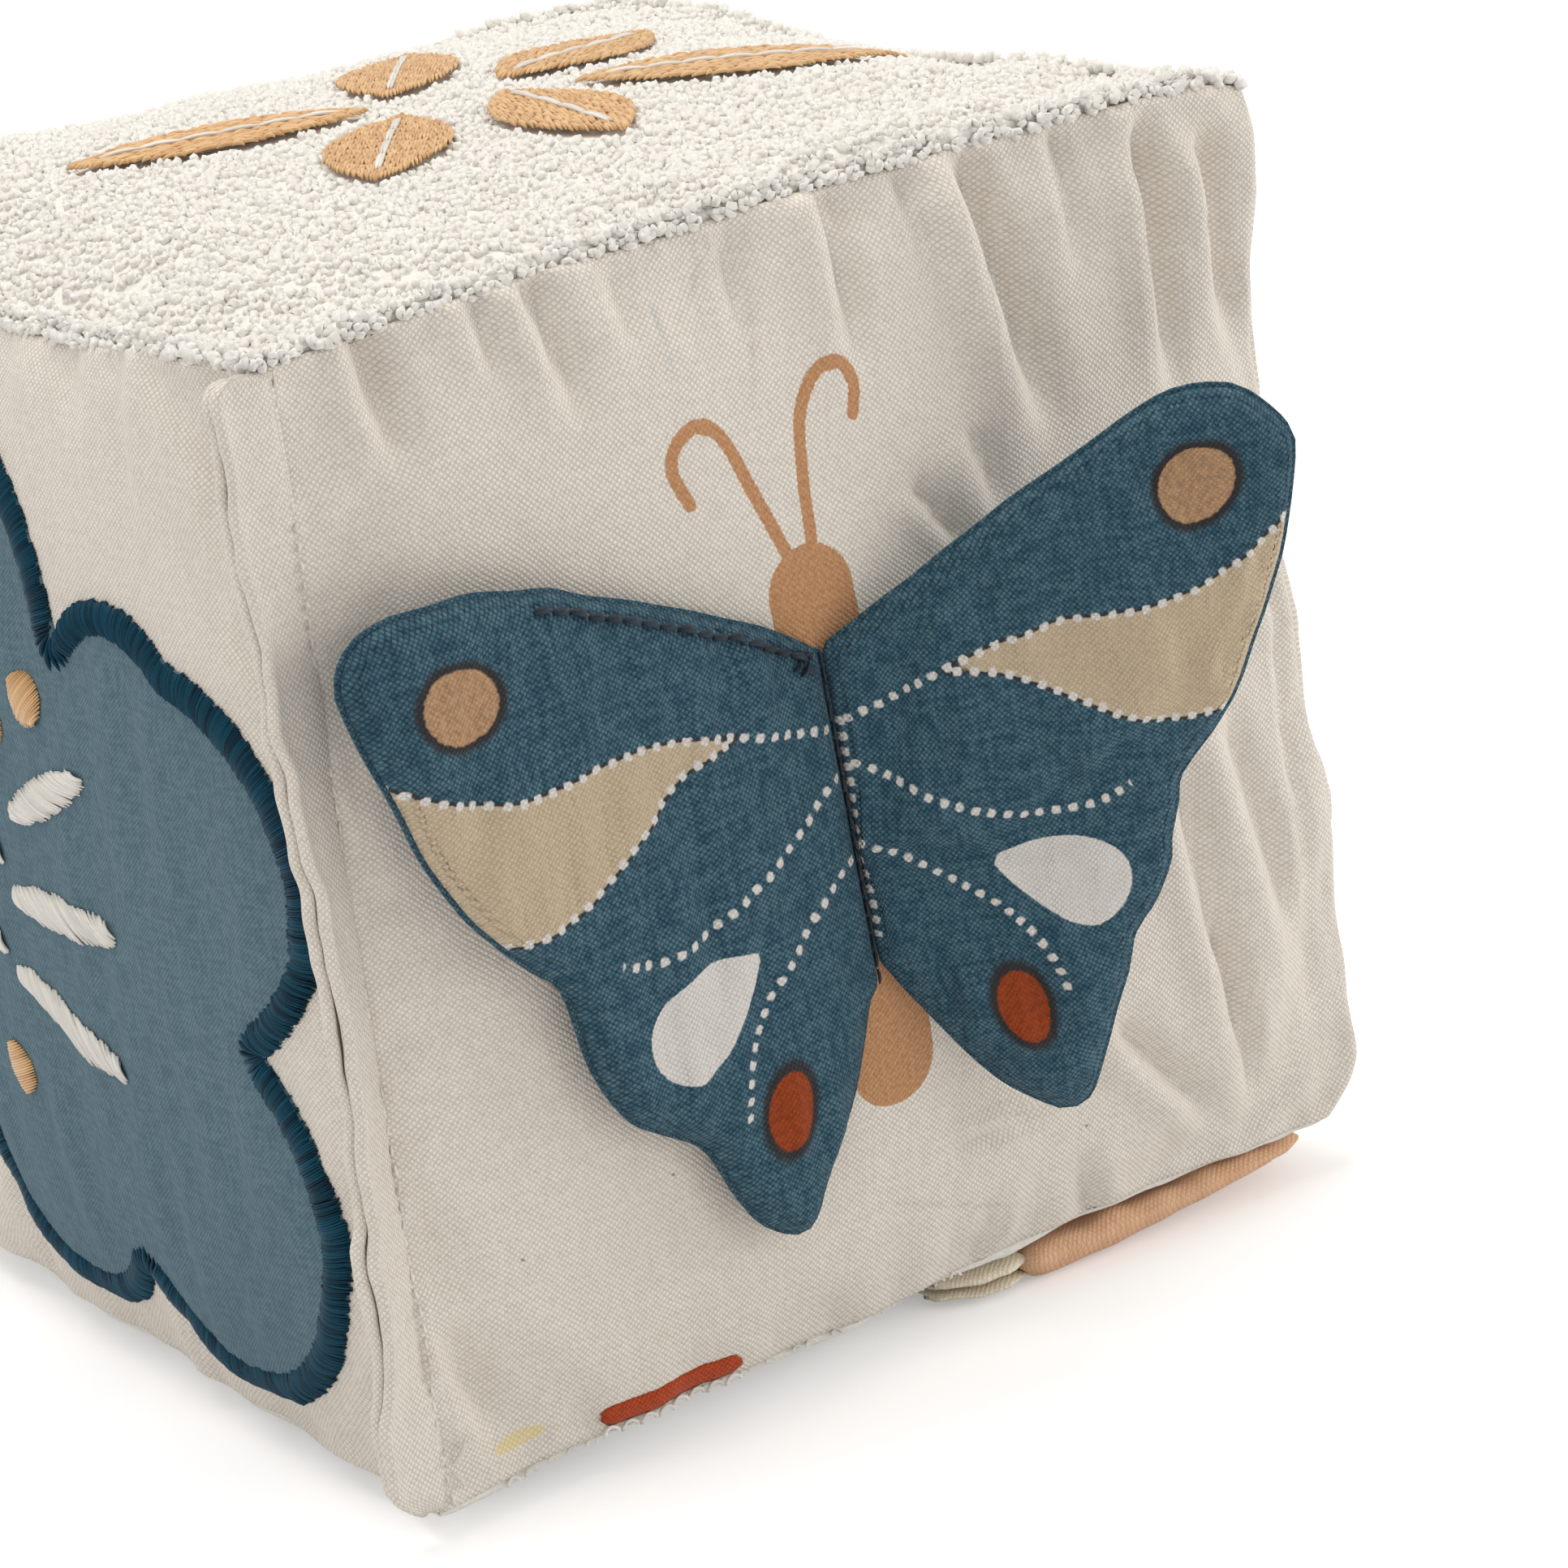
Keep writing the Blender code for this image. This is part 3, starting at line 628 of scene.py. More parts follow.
@dataclass(frozen=True)
class Thread:
    """A spun or satin thread: a tone that differs from stitch to stitch, and a low gloss."""

    name: str
    colour: Rgb
    shade: Rgb
    roughness: float = 0.42
    sheen: float = 0.25
    spread: float = 1.0
    gloss: float = 0.5

    def material(self) -> Material:
        """Makes the material.

        Returns:
            The thread's material.
        """
        graph = Graph(self.name)
        flat = graph.node("TexCoord").outputs["Object"]
        tone = graph.attribute("tone").outputs["Fac"]
        grain = graph.noise(flat, 0.0004, 3)
        share = graph.math("MULTIPLY_ADD", tone, 0.75 * self.spread, graph.math("MULTIPLY", grain, 0.35))
        graph.dress(Base_Color=graph.mix(graph.band(share, 0.1, 1.0), self.colour, self.shade),
                    Roughness=self.roughness, Sheen_Weight=self.sheen, Specular_IOR_Level=self.gloss)
        graph.bump(graph.noise(flat, 0.00018, 2), 0.00003)
        return graph.material


@dataclass(frozen=True)
class Fluff:
    """Soft unwoven fibre, as in a filling or a terry ground."""

    name: str
    colour: Rgb
    shade: Rgb
    grain: float = 0.0012
    relief: float = 0.0004

    def material(self) -> Material:
        """Makes the material.

        Returns:
            The fibre's material.
        """
        graph = Graph(self.name)
        place = graph.node("TexCoord").outputs["Object"]
        tangle = graph.noise(graph.scaled(place, (1, 1, 2.2)), self.grain, 5)
        graph.dress(Base_Color=graph.mix(graph.band(tangle, 0.35, 0.65), self.shade, self.colour), Roughness=0.95,
                    Sheen_Weight=0.3)
        graph.bump(tangle, self.relief)
        return graph.material


@dataclass(frozen=True)
class Plastic:
    """A moulded or blown plastic with a faint uneven gloss."""

    name: str
    colour: Rgb
    roughness: float
    transmission: float = 0.0
    grain: float = 0.0015
    relief: float = 0.00002

    def material(self) -> Material:
        """Makes the material.

        Returns:
            The plastic's material.
        """
        graph = Graph(self.name)
        place = graph.node("TexCoord").outputs["Object"]
        haze = graph.noise(place, self.grain, 3)
        darker = tuple(value * 0.94 for value in self.colour)
        graph.dress(Roughness=graph.band(haze, 0.3, 0.7, self.roughness * 0.85, self.roughness * 1.2),
                    Base_Color=graph.mix(graph.band(haze, 0.2, 0.8), self.colour, darker),
                    Transmission_Weight=self.transmission)
        graph.bump(haze, self.relief)
        return graph.material


CANVAS = dict(colour=(239, 232, 222), yarn=(225, 217, 205), soil=(231, 222, 208), contrast=0.5, pit=0.19,
              ink_pit=0.6, shadow=(120, 106, 90))
FRONT_CANVAS = FrontPrint("front_canvas", plane=Plane.XZ, **CANVAS)
PLAIN_CANVAS = Cloth("plain_canvas", plane=Plane.XZ, **CANVAS)
SIDE_CANVAS = Cloth("side_canvas", plane=Plane.YZ, **CANVAS)
HEM_CANVAS = Cloth("hem_canvas", **CANVAS)
TERRY_GROUND = Fluff("terry_ground", (240, 238, 232), (232, 229, 221), 0.0009, 0.0003)
TERRY_YARN = Thread("terry_yarn", (240, 238, 233), (230, 227, 220), roughness=1.0, sheen=0.0, spread=0.7,
                    gloss=0.1)
WING_BLUE = dict(colour=(50, 90, 108), yarn=(92, 128, 142), soil=(44, 80, 98), contrast=0.8, pitch=0.00074,
                 relief=0.00014, sheen=0.04, pit=0.62, ink_pit=0.30, shadow=(20, 38, 52))
WING_BACK = Cloth("wing_back_cotton", **WING_BLUE)
SLATE = Cloth("slate_cotton", (90, 117, 130), (110, 137, 147), plane=Plane.UV, pitch=0.00062, relief=0.00008,
              soil=(80, 107, 119), contrast=0.8, sheen=0.04, pit=0.40, shadow=(40, 60, 74))
TEAL_THREAD = Thread("teal_satin_thread", (8, 72, 94), (0, 38, 56), roughness=0.48, sheen=0.0, gloss=0.16)
WHITE_THREAD = Thread("white_satin_thread", (236, 233, 226), (214, 210, 202), roughness=0.42)
TAN_THREAD = Thread("tan_satin_thread", (226, 186, 132), (200, 154, 100), roughness=0.45, gloss=0.6)
BLUE_THREAD = Thread("blue_thread", (24, 44, 62), (10, 24, 38), roughness=0.6, sheen=0.05)
TAN_CLOTH = Cloth("tan_cotton", (238, 192, 154), (220, 170, 132), plane=Plane.XY, soil=(222, 172, 132), pit=0.12)
BEIGE_CLOTH = Cloth("beige_cotton", (248, 238, 216), (234, 220, 194), plane=Plane.XY, soil=(228, 208, 172), pit=0.12)
TERRACOTTA = Cloth("terracotta_cotton", (190, 78, 38), (164, 60, 28), plane=Plane.XZ, pitch=0.0007, pit=0.3,
                   shadow=(92, 34, 16))
FIBRE = Fluff("stuffing_fibre", (242, 242, 238), (222, 222, 216), 0.0025, 0.0012)
RATTLE = Plastic("rattle_shell", (222, 224, 228), 0.32)
BEAD = Plastic("rattle_bead", (202, 206, 212), 0.28)
FILM = Plastic("crinkle_film", (226, 230, 236), 0.2, transmission=0.6, grain=0.004, relief=0.0002)


# --- Meshes ---


def link(made: Object) -> Object:
    """Puts an object in the scene, and returns it."""
    bpy.context.scene.collection.objects.link(made)
    return made


def publish(name: str, shape: BMesh | bpy.types.Mesh, finish: Material, slot: str,
            body: str = "block", nodes: Iterable[str] = ()) -> Object:
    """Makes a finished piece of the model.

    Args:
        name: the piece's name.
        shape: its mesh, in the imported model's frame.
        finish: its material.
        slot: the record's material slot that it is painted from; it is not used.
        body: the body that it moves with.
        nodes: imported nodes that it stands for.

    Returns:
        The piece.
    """
    if isinstance(shape, BMesh):
        mesh = bpy.data.meshes.new(name)
        shape.to_mesh(mesh)
        shape.free()
    else:
        mesh = shape
    mesh.materials.clear()
    mesh.materials.append(finish)
    mesh.shade_smooth()
    made = link(bpy.data.objects.new(name, mesh))
    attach(made, body)
    if nodes:
        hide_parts(*nodes)
    return made


def thicken(made: Object, thickness: float) -> None:
    """Gives a sheet its thickness, inwards from its outer side."""
    shell = made.modifiers.new("Solidify", "SOLIDIFY")
    shell.thickness = thickness
    shell.offset = -1


def refine(made: Object) -> None:
    """Adds one level of live subdivision surface."""
    surface = made.modifiers.new("Subdivision", "SUBSURF")
    surface.levels = surface.render_levels = 1


def evaluated(made: Object) -> BMesh:
    """The object's mesh with its modifiers applied."""
    bm = bmesh.new()
    graph = bpy.context.evaluated_depsgraph_get()
    bm.from_mesh(made.evaluated_get(graph).to_mesh())
    return bm


def scratch_object(name: str, shape: BMesh) -> Object:
    """A working object that is removed again before the script ends."""
    mesh = bpy.data.meshes.new(name)
    shape.to_mesh(mesh)
    return link(bpy.data.objects.new(name, mesh))


def discard(made: Object) -> None:
    """Removes a working object."""
    bpy.data.objects.remove(made)


def of_kind(made: dict, kind: type) -> list:
    """The vertices or edges among what an operator made."""
    return [item for item in made["geom"] if isinstance(item, kind)]


def face_towards(shape: BMesh, out: Vector) -> None:
    """Turns an open sheet's faces so that they look outwards."""
    shape.normal_update()
    if sum(face.normal.dot(out) for face in shape.faces) < 0:
        bmesh.ops.reverse_faces(shape, faces=list(shape.faces))


def flat_size(outline: Sequence[Vector]) -> tuple[tuple[float, float], float]:
    """The width and height of a flat outline, and its signed area."""
    xs, ys = [point.x for point in outline], [point.y for point in outline]
    area = sum(a.x * b.y - b.x * a.y for a, b in zip(outline, [*outline[1:], outline[0]])) / 2
    return (max(xs) - min(xs), max(ys) - min(ys)), area


def write_attribute(shape: BMesh, name: str, rows: np.ndarray) -> None:
    """Stores three numbers on each vertex, for the material to read."""
    layer = shape.verts.layers.float_vector.new(name)
    for vert, row in zip(shape.verts, rows):
        vert[layer] = row


def write_line(shape: BMesh, name: str, flat: np.ndarray, points: Sequence[Point],
               printed: bool = True) -> None:
    """Stores where each vertex lies along and beside a printed line, and the line's length.

    Args:
        shape: the cloth.
        name: the attribute's name.
        flat: the vertices' flat places, one row each.
        points: the points that the line passes through.
        printed: whether the line shows; a hidden one is given no length.
    """
    line = smooth_line(points, 6)
    length = sum((b - a).length for a, b in zip(line, line[1:])) if printed else -1.0
    write_attribute(shape, name, np.stack([*line_places(flat, line), np.full(len(flat), length)], axis=1))


def write_flat(shape: BMesh, flat: Callable[[BMVert], Point]) -> None:
    """Writes the piece's UV map, in metres of its flat cloth."""
    layer = shape.loops.layers.uv.new("flat")
    for face in shape.faces:
        for loop in face.loops:
            loop[layer].uv = flat(loop.vert)


@dataclass(frozen=True)
class Simulation:
    """A short run of the cloth solver that fills a piece from within."""

    pressure: float = 4.0
    slack: float = 0.03
    frames: int = 20
    cap: float = 0.005
    stiffness: float = 12.0
    bending: float = 0.4

    def fill(self, shape: BMesh, held: Sequence[int]) -> list[Vector]:
        """Fills a mesh and returns how far each vertex moved.

        Args:
            shape: the mesh, whose faces point outwards.
            held: the vertices that stay where they are.

        Returns:
            One movement for each vertex, never longer than the cap.
        """
        start = [vert.co.copy() for vert in shape.verts]
        made = scratch_object("filling_run", shape)
        made.vertex_groups.new(name="held").add(list(held), 1.0, "REPLACE")
        cloth = made.modifiers.new("Cloth", "CLOTH")
        settings = cloth.settings
        settings.quality = 6
        settings.mass = 0.1
        settings.tension_stiffness = settings.compression_stiffness = self.stiffness
        settings.shear_stiffness = self.stiffness / 2
        settings.bending_stiffness = self.bending
        settings.vertex_group_mass = "held"
        settings.use_pressure = True
        settings.uniform_pressure_force = self.pressure
        settings.shrink_min = -self.slack
        settings.effector_weights.gravity = 0
        cloth.collision_settings.use_collision = False
        scene = bpy.context.scene
        scene.frame_start, scene.frame_end = 1, self.frames
        cloth.point_cache.frame_start, cloth.point_cache.frame_end = 1, self.frames
        for step in range(1, self.frames + 1):
            scene.frame_set(step)
        filled = evaluated(made)
        moves = []
        for vert, origin in zip(filled.verts, start):
            move = vert.co - origin
            moves.append(move * min(1.0, self.cap / max(move.length, 1e-9)))
        filled.free()
        discard(made)
        scene.frame_set(1)
        return moves


class Surface:
    """The outside of finished pieces, which other pieces are seated on."""

    def __init__(self, shapes: Sequence[BMesh]) -> None:
        """Reads the meshes' faces."""
        points: list[Vector] = []
        faces: list[list[int]] = []
        for shape in shapes:
            base = len(points)
            shape.verts.index_update()
            points += [vert.co.copy() for vert in shape.verts]
            faces += [[base + vert.index for vert in face.verts] for face in shape.faces]
        self.tree = BVHTree.FromPolygons(points, faces)

    def seat(self, origin: Vector, direction: Vector) -> tuple[Vector, Vector]:
        """Where a line from outside meets the surface, and the surface's direction there.

        Args:
            origin: a point outside.
            direction: the way in.

        Returns:
            The place, and the normal turned towards the outside.
        """
        place, normal, _, _ = self.tree.ray_cast(origin, direction)
        if place is None:
            place, normal, _, _ = self.tree.find_nearest(origin)
        return place, normal if normal.dot(direction) < 0 else -normal

    def seat_front(self, x: float, z: float) -> tuple[Vector, Vector]:
        """The same for a line from straight in front."""
        return self.seat(Vector((x, -0.2, z)), Vector((0, 1, 0)))


def scatter(name: str, template: BMesh, places: Sequence[Matrix], tones: Sequence[float]
            ) -> bpy.types.Mesh:
    """Lays copies of a small shape, each with its own placing matrix and tone.

    Args:
        name: the mesh's name.
        template: the shape; it is freed.
        places: one matrix for each copy.
        tones: one number for each copy, for the material.

    Returns:
        The mesh of all the copies.
    """
    template.verts.index_update()
    verts = np.array([[*vert.co, 1.0] for vert in template.verts])
    faces = [[vert.index for vert in face.verts] for face in template.faces]
    template.free()
    matrices = np.array([[list(row) for row in place] for place in places])
    laid = np.einsum("kij,nj->kni", matrices, verts)[:, :, :3].reshape(-1, 3)
    count, size = len(places), len(verts)
    corners = np.array([index for face in faces for index in face])
    sizes = np.array([len(face) for face in faces])
    starts = np.concatenate([[0], np.cumsum(sizes)[:-1]])
    shifts = np.arange(count)
    mesh = bpy.data.meshes.new(name)
    mesh.vertices.add(count * size)
    mesh.vertices.foreach_set("co", laid.ravel())
    mesh.loops.add(count * len(corners))
    mesh.loops.foreach_set("vertex_index", (corners[None, :] + shifts[:, None] * size).ravel().astype(np.int32))
    mesh.polygons.add(count * len(faces))
    mesh.polygons.foreach_set("loop_start", (starts[None, :] + shifts[:, None] * len(corners)).ravel()
                              .astype(np.int32))
    mesh.attributes.new("tone", "FLOAT", "POINT").data.foreach_set("value", np.repeat(tones, size))
    mesh.update(calc_edges=True)
    mesh.validate()
    return mesh


def lay(name: str, template: BMesh, places: Sequence[Matrix], draw: random.Random,
        finish: Material, slot: str, body: str = "block", nodes: Iterable[str] = ()) -> None:
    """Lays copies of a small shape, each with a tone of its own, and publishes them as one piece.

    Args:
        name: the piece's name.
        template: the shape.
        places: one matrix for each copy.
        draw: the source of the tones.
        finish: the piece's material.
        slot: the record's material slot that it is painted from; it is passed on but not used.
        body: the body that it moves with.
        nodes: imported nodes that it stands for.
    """
    mesh = scatter(name, template, places, [draw.random() for _ in places])
    publish(name, mesh, finish, slot, body, nodes)


def stitch_template(sides: int = 5, steps: int = 5, arch: float = 0.5) -> BMesh:
    """One stitch, one long and one across: a tube that arches out of the cloth and back in.

    Args:
        sides: sides of the tube.
        steps: steps along it.
        arch: how far its middle stands out.

    Returns:
        The stitch's mesh, along X with Z up.
    """
    bm = bmesh.new()
    ring = bmesh.ops.create_circle(bm, segments=sides, radius=0.5)["verts"]
    bmesh.ops.rotate(bm, verts=ring, cent=(0, 0, 0), matrix=Matrix.Rotation(math.pi / 2, 3, "Y"))
    bmesh.ops.translate(bm, verts=ring, vec=(-0.5, 0, 0))
    edges = list(bm.edges)
    bmesh.ops.contextual_create(bm, geom=edges)
    for _ in range(steps):
        made = bmesh.ops.extrude_edge_only(bm, edges=edges)
        bmesh.ops.translate(bm, verts=of_kind(made, BMVert), vec=(1 / steps, 0, 0))
        edges = of_kind(made, BMEdge)
    bmesh.ops.contextual_create(bm, geom=edges)
    for vert in bm.verts:
        share = 1 - (2 * vert.co.x) ** 2
        vert.co.y *= 0.55 + 0.45 * share
        vert.co.z = vert.co.z * (0.6 + 0.4 * share) + arch * (share - 0.45)
    bmesh.ops.recalc_face_normals(bm, faces=list(bm.faces))
    return bm


def loop_template(thread: float, turn: float, steps: int = 6, sides: int = 3) -> BMesh:
    """One loop of yarn, about one high: a tube bent round most of a circle, with both ends at the ground.

    Args:
        thread: the yarn's radius as a share of the loop's height.
        turn: how far round the loop goes, in degrees.
        steps: steps round it.
        sides: sides of the tube.

    Returns:
        The loop's mesh, with Z up and its ring in the XZ plane.
    """
    radius = 0.5 - thread
    bm = bmesh.new()
    ring = bmesh.ops.create_circle(bm, segments=sides, radius=thread)["verts"]
    bmesh.ops.translate(bm, verts=ring, vec=(radius, 0, 0))
    first = list(bm.edges)
    bmesh.ops.rotate(bm, verts=ring, cent=(0, 0, 0),
                     matrix=Matrix.Rotation(math.radians(90 + turn / 2), 3, "Y"))
    made = bmesh.ops.spin(bm, geom=[*ring, *first], cent=(0, 0, 0), axis=(0, 1, 0), angle=-math.radians(turn),
                          steps=steps)
    last = [item for item in made["geom_last"] if isinstance(item, BMEdge)]
    for edges in (first, last):
        bmesh.ops.contextual_create(bm, geom=edges)
    for vert in bm.verts:
        vert.co.z += 0.5
        vert.co.x *= 0.55 + 0.45 * min(1.0, vert.co.z * 1.6)
    bmesh.ops.recalc_face_normals(bm, faces=list(bm.faces))
    return bm


def cut_sheet(outline: Sequence[Vector], cell: float) -> BMesh:
    """A flat sheet of small square cells, trimmed to an outline.

    Args:
        outline: the closed outline, in the sheet's own two directions.
        cell: the size of a cell.

    Returns:
        The sheet, facing up.
    """
    xs, ys = [point.x for point in outline], [point.y for point in outline]
    low, high = Vector((min(xs), min(ys))), Vector((max(xs), max(ys)))
    size = high - low
    columns, rows = math.ceil(size.x / cell), math.ceil(size.y / cell)
    bm = bmesh.new()
    bmesh.ops.create_grid(bm, x_segments=columns, y_segments=rows, size=0.5)
    bmesh.ops.scale(bm, verts=list(bm.verts), vec=(size.x, size.y, 1))
    bmesh.ops.translate(bm, verts=list(bm.verts), vec=(*((low + high) / 2), 0))
    middles = np.array([face.calc_center_median()[:2] for face in bm.faces])
    inside = outline_distance(middles, outline) > 0
    bmesh.ops.delete(bm, geom=[face for face, kept in zip(list(bm.faces), inside) if not kept], context="FACES")
    tags = [face for face in bm.faces if sum(edge.is_boundary for edge in face.edges) > 2]
    bmesh.ops.delete(bm, geom=tags, context="FACES")
    rim = [vert for vert in bm.verts if vert.is_boundary]
    fine = resample([Vector((*point, 0)) for point in outline], cell / 6, closed=True)
    rail = np.array([point[:2] for point in fine])
    for vert in rim:
        nearest = rail[np.argmin(np.hypot(*(rail - np.array(vert.co[:2])).T))]
        vert.co.x, vert.co.y = nearest
    inner = [vert for vert in bm.verts if not vert.is_boundary]
    for _ in range(4):
        bmesh.ops.smooth_vert(bm, verts=inner, factor=0.5, use_axis_x=True, use_axis_y=True, use_axis_z=True)
    bm.verts.index_update()
    return bm


# --- The stuffed cover ---


@dataclass(frozen=True)
class Crease:
    """A soft valley in a panel, with a low ridge beside it, from one place to another in its plane."""

    start: Point
    end: Point
    width: float
    depth: float

    @classmethod
    def from_row(cls, *row: int) -> "Crease":
        """A crease from one row of the table."""
        x1, y1, x2, y2, width, depth = (value / 10000 for value in row)
        return cls((x1, y1), (x2, y2), width, depth)

    def height(self, place: Point) -> float:
        """How far the crease moves a place outwards.

        Args:
            place: the place in the panel's plane, from the block's middle.

        Returns:
            The movement, negative in the valley.
        """
        start, span = Vector(self.start), Vector(self.end) - Vector(self.start)
        gap = Vector(place) - start
        share = gap.dot(span) / span.length_squared
        beside = (gap.x * span.y - gap.y * span.x) / span.length
        if abs(beside) > 5 * self.width or not -0.3 < share < 1.3:
            return 0.0
        fade = ease((share + 0.12) / 0.3) * ease((1.25 - share) / 0.65)
        valley = math.exp(-(beside / self.width) ** 2)
        ridge = 0.55 * math.exp(-((beside - 1.9 * self.width) / (1.2 * self.width)) ** 2)
        return self.depth * fade * (ridge - valley)


CREASES = {  # start, end, width and depth of each crease, in tenths of a millimetre from the panel's middle
    Side.FRONT: (
        (-554, 715, -535, 560, 22, 29), (-414, 719, -395, 610, 16, 17), (-337, 715, -306, 560, 19, 29),
        (-235, 715, -222, 610, 13, 14), (-60, 715, -75, 590, 15, 17), (85, 740, 74, 530, 18, 25),
        (190, 715, 200, 600, 14, 14), (280, 715, 337, 400, 27, 55), (219, 400, 250, 290, 18, 16),
        (118, 360, 185, 260, 12, 17), (420, 715, 415, 560, 15, 24), (543, 700, 540, 390, 21, 42),
        (640, 660, 655, 420, 20, 32), (478, -110, 548, -540, 22, 29), (340, -410, 490, -590, 18, 26),
        (526, -350, 568, -580, 14, 22), (570, -60, 660, -430, 22, 25), (672, 300, 680, -480, 12, 13),
        (205, -482, 75, -494, 10, 20), (300, -700, 270, -570, 16, 14), (100, -700, 130, -590, 15, 13),
        (-640, -480, -590, -650, 24, 20)),
    Side.LEFT: (
        (-600, 690, -570, 420, 28, 11), (-350, 700, -380, 480, 26, 10), (100, 700, 70, 500, 24, 11),
        (420, 700, 450, 460, 26, 11), (-180, -700, -150, -580, 22, 13), (300, -700, 270, -520, 24, 13)),
    Side.RIGHT: (
        (-640, -180, -360, -480, 30, 19), (-660, -420, -420, -620, 26, 22), (-100, 700, -70, 480, 26, 14),
        (280, 700, 320, 500, 24, 13), (500, -700, 460, -480, 26, 14)),
    Side.BACK: (
        (-400, 700, -370, 460, 26, 14), (-80, 700, -110, 520, 24, 13), (330, 700, 310, 480, 26, 14),
        (400, -700, 450, -480, 26, 14), (-280, -700, -300, -500, 24, 13))}


@dataclass(frozen=True)
class Bow:
    """How one edge of the block bows: the edge, the way it moves, how far that is felt, and how much where."""

    edge: tuple[int, int, int]
    direction: Vector
    reach: float
    amounts: tuple[Point, ...]

    def move(self, unit: Vector) -> Vector:
        """The movement of a point of the unit cube."""
        near = 1.0
        along = 0.0
        for value, sign in zip(unit, self.edge):
            if sign:
                near *= ease(1 - (1 - value * sign) / self.reach)
            else:
                along = value
        if not near:
            return Vector((0, 0, 0))
        places, moves = zip(*self.amounts)
        return self.direction * (near * float(np.interp(along, places, moves)))


@dataclass
class Cover:
    """The six sewn panels, as one stuffed cover that is filled, creased and parted along its seams."""

    cells: int = 48
    side_crown: float = 0.0050
    top_crown: float = 0.0065
    edge_draw: float = 0.0015
    fullness: dict[Side, float] = field(default_factory=lambda: {
        **dict.fromkeys(Side, 0.60), Side.TOP: 0.42, Side.BOTTOM: 0.35})
    start_share: float = 0.82
    proud: float = 0.0008
    sunk: float = 0.0011
    drift: float = 0.0012
    groove: float = 0.0007
    canvas: float = 0.0009
    terry: float = 0.0010
    pile_depth: float = 0.0011
    floor_gap: float = 0.0003
    bows: tuple[Bow, ...] = (
        Bow((1, -1, 0), Vector((1, 0, 0)), 0.42, (
            (-1.0, -0.0015), (-0.977, 0.0), (-0.93, 0.0032), (-0.86, 0.0054), (-0.69, 0.0054), (-0.30, 0.0053),
            (-0.06, 0.0037), (0.09, 0.0026), (0.25, 0.0017), (0.43, 0.0004), (0.55, 0.0005), (0.71, 0.0013),
            (0.81, 0.0025), (0.90, 0.0025), (0.95, 0.0016), (1.0, 0.0004))),
        Bow((0, -1, 1), Vector((0, 0, 1)), 0.34, (
            (-1.0, 0.0), (-0.80, 0.0012), (-0.45, 0.0028), (0.0, 0.0040), (0.40, 0.0042), (0.75, 0.0036),
            (0.92, 0.0028), (1.0, 0.0012))),
        Bow((-1, 0, 1), Vector((0, 0, 1)), 0.30, (
            (-1.0, 0.0), (-0.80, -0.0005), (-0.60, -0.0010), (-0.35, -0.0024), (0.0, -0.0028), (0.5, -0.0022),
            (1.0, 0.0))),
        Bow((0, -1, -1), Vector((0, 0, 1)), 0.22, (
            (-1.0, -0.0006), (-0.5, -0.0006), (-0.1, -0.0004), (0.1, 0.0005), (0.4, 0.0017), (0.7, 0.0022),
            (0.93, 0.0028), (1.0, 0.0030))),
        Bow((-1, 0, -1), Vector((0, 0, 1)), 0.30, (
            (-1.0, -0.0006), (-0.7, -0.0020), (-0.3, -0.0028), (0.2, -0.0024), (1.0, 0.0))),
        Bow((1, 0, 1), Vector((0.4, 0, 1)), 0.30, (
            (-1.0, 0.0), (-0.5, 0.0010), (0.1, -0.0012), (0.6, 0.0012), (1.0, 0.0))),
        Bow((0, 1, 1), Vector((0, 0.3, 1)), 0.30, (
            (-1.0, 0.0), (-0.4, 0.0014), (0.2, -0.0010), (0.7, 0.0010), (1.0, 0.0))))
    run: Simulation = field(default_factory=lambda: Simulation(pressure=5.0, slack=0.035, cap=0.004))
    creases: dict[Side, tuple[Crease, ...]] = field(default_factory=lambda: {
        side: tuple(Crease.from_row(*row) for row in rows) for side, rows in CREASES.items()})
    shapes: dict[Side, BMesh] = field(default_factory=dict)

    def crown(self, side: Side) -> float:
        """How far a side swells in its middle."""
        return self.top_crown if side is Side.TOP else self.side_crown

    def side_of(self, direction: Vector) -> Side:
        """The side that a direction looks out of."""
        return max(Side, key=lambda side: side.outwards.dot(direction))

    def swell(self, unit: Vector) -> Vector:
        """How far the slack cloth along the edges hangs in or out."""
        return sum((bow.move(unit) for bow in self.bows), Vector((0, 0, 0)))

    def point(self, unit: Vector, depth: float = 0.0, share: float = 1.0) -> Vector:
        """Maps a point of the unit cube's surface to the crowned block.

        Args:
            unit: the point on the cube from -1 to 1.
            depth: how far under the outside the point is.
            share: the share of the crown that is used.

        Returns:
            The point in space.
        """
        square = [value * value for value in unit]
        point = Vector((0, 0, 0))
        for axis in (X, Y, Z):
            first, second = (other for other in (X, Y, Z) if other != axis)
            side = next(side for side in Side if side.axis == axis and side.sign * unit[axis] >= 0)
            draw = self.edge_draw * (square[first] * (1 - square[second]) + square[second] * (1 - square[first]))
            middle = max(0.0, (1 - square[first]) * (1 - square[second]))
            rise = share * self.crown(side) * middle ** self.fullness[side]
            point[axis] = unit[axis] * (HALF - depth - draw + rise)
        return CENTRE + point + self.swell(unit)

    def toward_seam(self, value: float) -> float:
        """Brings a grid line a little nearer to the seam."""
        return 0.5 * value + 0.5 * math.sin(value * math.pi / 2)

